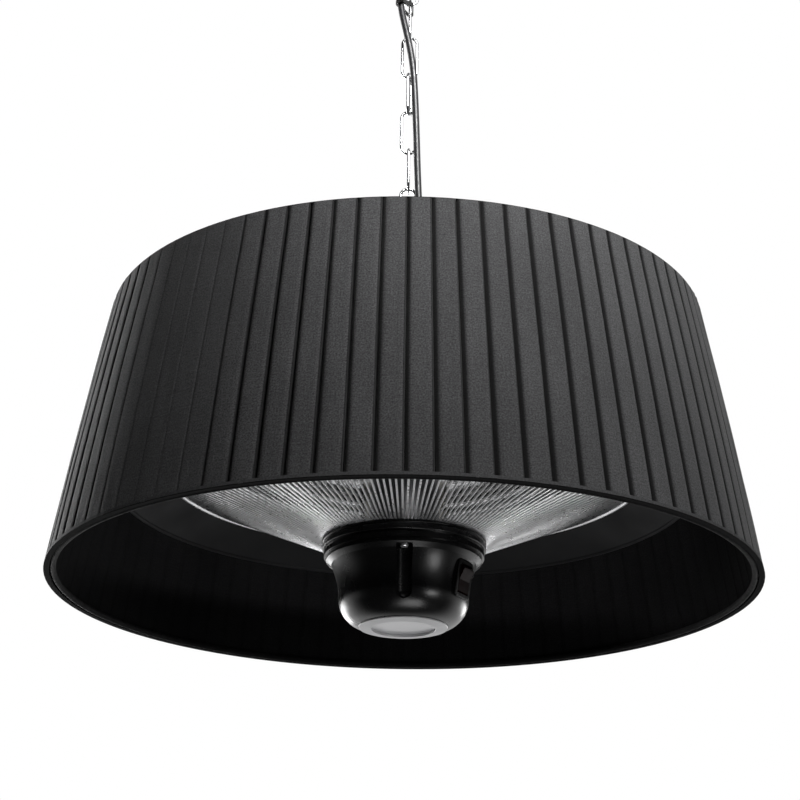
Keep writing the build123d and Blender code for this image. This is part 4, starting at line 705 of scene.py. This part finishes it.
def wound_coil_tree():
    """A wire wound round a path that lies level, and loops spaced along that path."""
    tree, w, given = new_tree(
        "wound_coil",
        ("Turns", "Int", 330),
        ("Steps", "Int", 8),
        ("Coil radius", "Float", 0.0015),
        ("Wire radius", "Float", 0.0003),
        ("Loops", "Int", 64),
        ("Loop radius", "Float", 0.0042),
        ("Loop wire", "Float", 0.00035),
        ("Metal", "Material", None),
    )
    points = w.math("MULTIPLY", given["Turns"], given["Steps"])
    fine = w.node("GeometryNodeResampleCurve", given["Geometry"], named={"Count": points})
    along = w.add("GeometryNodeSplineParameter")
    swing = w.math("MULTIPLY", along, w.math("MULTIPLY", given["Turns"], RING_LENGTH))
    place = w.add("GeometryNodeInputPosition")
    outward = w.vector("NORMALIZE", w.vector("MULTIPLY", place, (1, 1, 0)))
    sideways = w.vector("SCALE", outward, None, None, w.math("COSINE", swing))
    offset = w.vector("ADD", sideways, w.combine(0, 0, w.math("SINE", swing)))
    offset = w.vector("SCALE", offset, None, None, given["Coil radius"])
    wound = w.add("GeometryNodeSetPosition", fine.outputs[0], None, None, offset)
    rim = w.ring(COIL_SIDES, given["Wire radius"])
    coil = w.node("GeometryNodeCurveToMesh", wound, rim, named={"Fill Caps": True}).outputs[0]
    spots = w.node("GeometryNodeCurveToPoints", given["Geometry"], named={"Count": given["Loops"]})
    hoop = w.ring(HOOP_SIDES, given["Loop radius"])
    hoop_rim = w.ring(COIL_SIDES, given["Loop wire"])
    hoop_mesh = w.add("GeometryNodeCurveToMesh", hoop, hoop_rim)
    facing = w.add("FunctionNodeAlignRotationToVector", None, None, spots.outputs["Tangent"])
    hoops = w.node(
        "GeometryNodeInstanceOnPoints",
        spots.outputs["Points"],
        named={"Instance": hoop_mesh, "Rotation": facing},
    ).outputs[0]
    both = w.node("GeometryNodeJoinGeometry", coil)
    w.feed(both.inputs[0], hoops)
    close_tree(w, w.add("GeometryNodeSetShadeSmooth", both.outputs[0]), given["Metal"])
    return tree


def place_piece(piece, body, slot, *nodes):
    """Rides the piece on its body and hides the CAD nodes it stands for; the slot is not used."""
    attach(piece, body)
    if nodes:
        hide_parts(*nodes)


# Operators, one for each piece or group of like pieces


class HEATER_OT_finishes(bpy.types.Operator):
    """Makes the finishes and gives them to the CAD pieces that stay"""

    bl_idname = "heater.finishes"
    bl_label = "Finishes"

    def execute(self, context):
        make_finishes(context.scene.heater)
        for finish, names in CAD_FINISHES.items():
            for name in names.split():
                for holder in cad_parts[name].material_slots:
                    holder.material = finishes[finish]
        return {"FINISHED"}


class HEATER_OT_cables(bpy.types.Operator):
    """Lays the three stretches of the rubber cable between ceiling, ties and gland"""

    bl_idname = "heater.cables"
    bl_label = "Cables"

    def execute(self, context):
        diameter = context.scene.heater.cable.diameter
        for name, route, bodies, bend_from, bend_to, real_length in CABLES:
            points = [tuple(value * MM for value in point) for point in route]
            guide = line_curve(f"{name}_guide", points, "NURBS")
            path = [v.co.copy() for v in as_mesh(guide, f"{name}_path").data.vertices]
            bpy.data.objects.remove(bpy.data.objects[f"{name}_path"])
            cable = line_curve(f"{name}_cable", points, "NURBS")
            cable.data.bevel_depth = diameter / 2
            cable.data.bevel_resolution = 5
            cable.data.use_fill_caps = True
            cable = smooth(as_mesh(cable, f"cable_{name}_rubber"), 50)
            cable.data.materials.clear()
            cable.data.materials.append(finishes["cable_rubber"])
            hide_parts(f"cable_{name}")
            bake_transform(cable)
        return {"FINISHED"}


class HEATER_OT_shade(bpy.types.Operator):
    """Pleats the cover and the lining of the shade"""

    bl_idname = "heater.shade"
    bl_label = "Shade"

    def execute(self, context):
        shade = context.scene.heater.shade
        tree = pleated_cone_tree()
        shared = {
            "pleats": shade.pleats,
            "bottom_height": shade.bottom_height,
            "top_height": shade.top_height,
            "first_fold": FIRST_FOLD,
        }
        lining_depth = shade.pleat_depth + LINING_GAP
        cover = grow(
            empty_mesh("cover_start"),
            tree,
            "shade_cloth",
            bottom_radius=shade.bottom_radius,
            top_radius=shade.top_radius,
            depth=shade.pleat_depth,
            bulge=shade.bulge,
            sag=shade.sag,
            cloth=finishes["cover_cloth"],
            **shared,
        )
        lining = grow(
            empty_mesh("lining_start"),
            tree,
            "shade_inner_lining",
            columns=8,
            rows=12,
            bottom_radius=shade.bottom_radius - lining_depth,
            top_radius=shade.top_radius - lining_depth,
            depth=shade.lining_depth,
            cloth=finishes["lining_cloth"],
            **shared,
        )
        for piece, slot, node, fullness in (
            (cover, "charcoal_fabric", "shade_cover", COVER_FULLNESS),
            (lining, "black_lining", "shade_lining", LINING_FULLNESS),
        ):
            wall = piece.modifiers.new("wall", "SOLIDIFY")
            wall.thickness = shade.cloth_thickness
            wall.offset = -1
            name = piece.name
            piece = as_mesh(piece, name + "_made")
            piece.name = name
            smooth(piece, 40)
            place_piece(piece, HEATER, slot, node)
        return {"FINISHED"}


class HEATER_OT_guard(bpy.types.Operator):
    """Spins the guard's radial wires round the heater's axis"""

    bl_idname = "heater.guard"
    bl_label = "Guard"

    def execute(self, context):
        guard = context.scene.heater.guard
        path = [(radius * MM, 0, height * MM) for radius, height in WIRE_PROFILE]
        wires = grow(
            line_curve("wire_path", path),
            spun_wires_tree(),
            "guard_radial_wires",
            count=guard.wires,
            wire_radius=guard.wire_radius,
            sides=guard.sides,
            first_turn=math.radians(180 / guard.wires),
            metal=finishes["bright_wire"],
        )
        place_piece(wires, HEATER, "bright_steel", "guard_wires")
        return {"FINISHED"}


class HEATER_OT_lamp(bpy.types.Operator):
    """Winds the filament inside the ring lamp"""

    bl_idname = "heater.lamp"
    bl_label = "Ring lamp"

    def execute(self, context):
        lamp = context.scene.heater.lamp
        points = []
        for step in range(FILAMENT_STEPS + 1):
            angle = math.radians(FILAMENT_START + FILAMENT_ARC * step / FILAMENT_STEPS)
            points.append(
                (
                    lamp.ring_radius * math.cos(angle),
                    lamp.ring_radius * math.sin(angle),
                    lamp.height,
                )
            )
        coil = grow(
            line_curve("filament_path", points),
            wound_coil_tree(),
            "lamp_coil",
            turns=lamp.coil_turns,
            coil_radius=lamp.coil_radius,
            wire_radius=lamp.coil_wire,
            loops=lamp.supports,
            metal=finishes["filament"],
        )
        place_piece(coil, HEATER, "filament_wire", "lamp_filament")
        return {"FINISHED"}


class HEATER_OT_stage(bpy.types.Operator):
    """Sets the floor, the lights, the world and the camera"""

    bl_idname = "heater.stage"
    bl_label = "Stage"

    def execute(self, context):
        stage = context.scene.heater.stage
        scene = context.scene
        scene.view_settings.view_transform = "Standard"
        world = bpy.data.worlds.new("studio")
        scene.world = world
        world.use_nodes = True
        world.node_tree.nodes.clear()
        w = Wiring(world.node_tree)
        rays = w.node("ShaderNodeLightPath").outputs
        seen = w.math("MAXIMUM", rays["Is Camera Ray"], rays["Is Transmission Ray"])
        backward = w.separate(w.add("ShaderNodeTexCoord", out="Generated"))[1]
        mirrored = w.spread(backward, stage.gloss_front, stage.gloss_behind, *WORLD_MIRROR_FADE)
        level = w.spread(rays["Is Glossy Ray"], stage.world_level, mirrored)
        level = w.math("MAXIMUM", seen, level)
        back = w.add("ShaderNodeBackground", (1, 1, 1, 1), level)
        w.node("ShaderNodeOutputWorld", back)

        floor = empty_mesh("floor")
        shape = bmesh.new()
        bmesh.ops.create_grid(shape, x_segments=2, y_segments=2, size=FLOOR_HALF_SIZE)
        shape.to_mesh(floor.data)
        shape.free()
        floor.data.transform(Matrix.Translation((0, 0, FLOOR_HEIGHT)))
        pale = bpy.data.materials.new("floor_paper")
        pale.use_nodes = True
        pale.node_tree.nodes.clear()
        w = Wiring(pale.node_tree)
        rays = w.node("ShaderNodeLightPath").outputs
        level = w.spread(rays["Is Camera Ray"], FLOOR_TONE, FLOOR_TONE_SEEN)
        diffuse = w.node("ShaderNodeBsdfDiffuse", w.combine(level, level, level)).outputs[0]
        glow = w.math("MULTIPLY", rays["Is Camera Ray"], FLOOR_GLOW_SEEN)
        glow = w.node("ShaderNodeEmission", (1, 1, 1, 1), glow).outputs[0]
        diffuse = w.node("ShaderNodeAddShader", diffuse, glow).outputs[0]
        behind = w.separate(w.add("ShaderNodeTexCoord", out="Object"))[1]
        mirrored = w.spread(behind, stage.gloss_front, stage.gloss_behind, *FLOOR_MIRROR_FADE)
        backdrop = w.node("ShaderNodeEmission", (1, 1, 1, 1), mirrored).outputs[0]
        shown = w.node("ShaderNodeMixShader", rays["Is Glossy Ray"], diffuse, backdrop).outputs[0]
        w.node("ShaderNodeOutputMaterial", shown)
        floor.data.materials.append(pale)

        for name, place, aim, size, watts in LIGHTS:
            data = bpy.data.lights.new(name, "AREA")
            data.size = size
            data.energy = watts
            lamp = bpy.data.objects.new(name, data)
            scene.collection.objects.link(lamp)
            lamp.location = place
            lamp.rotation_euler = (Vector(aim) - Vector(place)).to_track_quat("-Z", "Y").to_euler()

        data = bpy.data.cameras.new("photo_camera")
        data.lens = stage.lens
        data.sensor_width = 36
        data.clip_start = 0.01
        camera = bpy.data.objects.new("photo_camera", data)
        scene.collection.objects.link(camera)
        place = Matrix.Translation((stage.aside, -stage.distance, RIM_HEIGHT - stage.below_rim))
        tilt = Matrix.Rotation(math.radians(90 + stage.pitch), 4, "X")
        camera.matrix_world = place @ tilt @ Matrix.Rotation(math.radians(stage.roll), 4, "Z")
        scene.camera = camera
        return {"FINISHED"}


class HEATER_PT_panel(bpy.types.Panel):
    """Lists the heater's sizes, colours and steps"""

    bl_label = "Hanging patio heater"
    bl_idname = "HEATER_PT_panel"
    bl_space_type = "VIEW_3D"
    bl_region_type = "UI"
    bl_category = "Heater"

    def draw(self, context):
        settings = context.scene.heater
        for group in ("shade", "guard", "lamp", "cable", "stage"):
            box = self.layout.box()
            box.label(text=group.capitalize())
            members = getattr(settings, group)
            for name in members.__annotations__:
                box.prop(members, name)
        for operator in OPERATORS:
            self.layout.operator(operator.bl_idname)


OPERATORS = (
    HEATER_OT_finishes,
    HEATER_OT_stage,
    HEATER_OT_cables,
    HEATER_OT_shade,
    HEATER_OT_guard,
    HEATER_OT_lamp,
)
CLASSES = (
    ShadeSettings,
    GuardSettings,
    LampSettings,
    CableSettings,
    StageSettings,
    HeaterSettings,
    *OPERATORS,
    HEATER_PT_panel,
)


def register():
    for kind in CLASSES:
        bpy.utils.register_class(kind)
    bpy.types.Scene.heater = PointerProperty(type=HeaterSettings)


def unregister():
    del bpy.types.Scene.heater
    for kind in reversed(CLASSES):
        bpy.utils.unregister_class(kind)


def main():
    register()
    for operator in OPERATORS:
        group, step = operator.bl_idname.split(".")
        getattr(getattr(bpy.ops, group), step)()


if __name__ == "__main__":
    main()
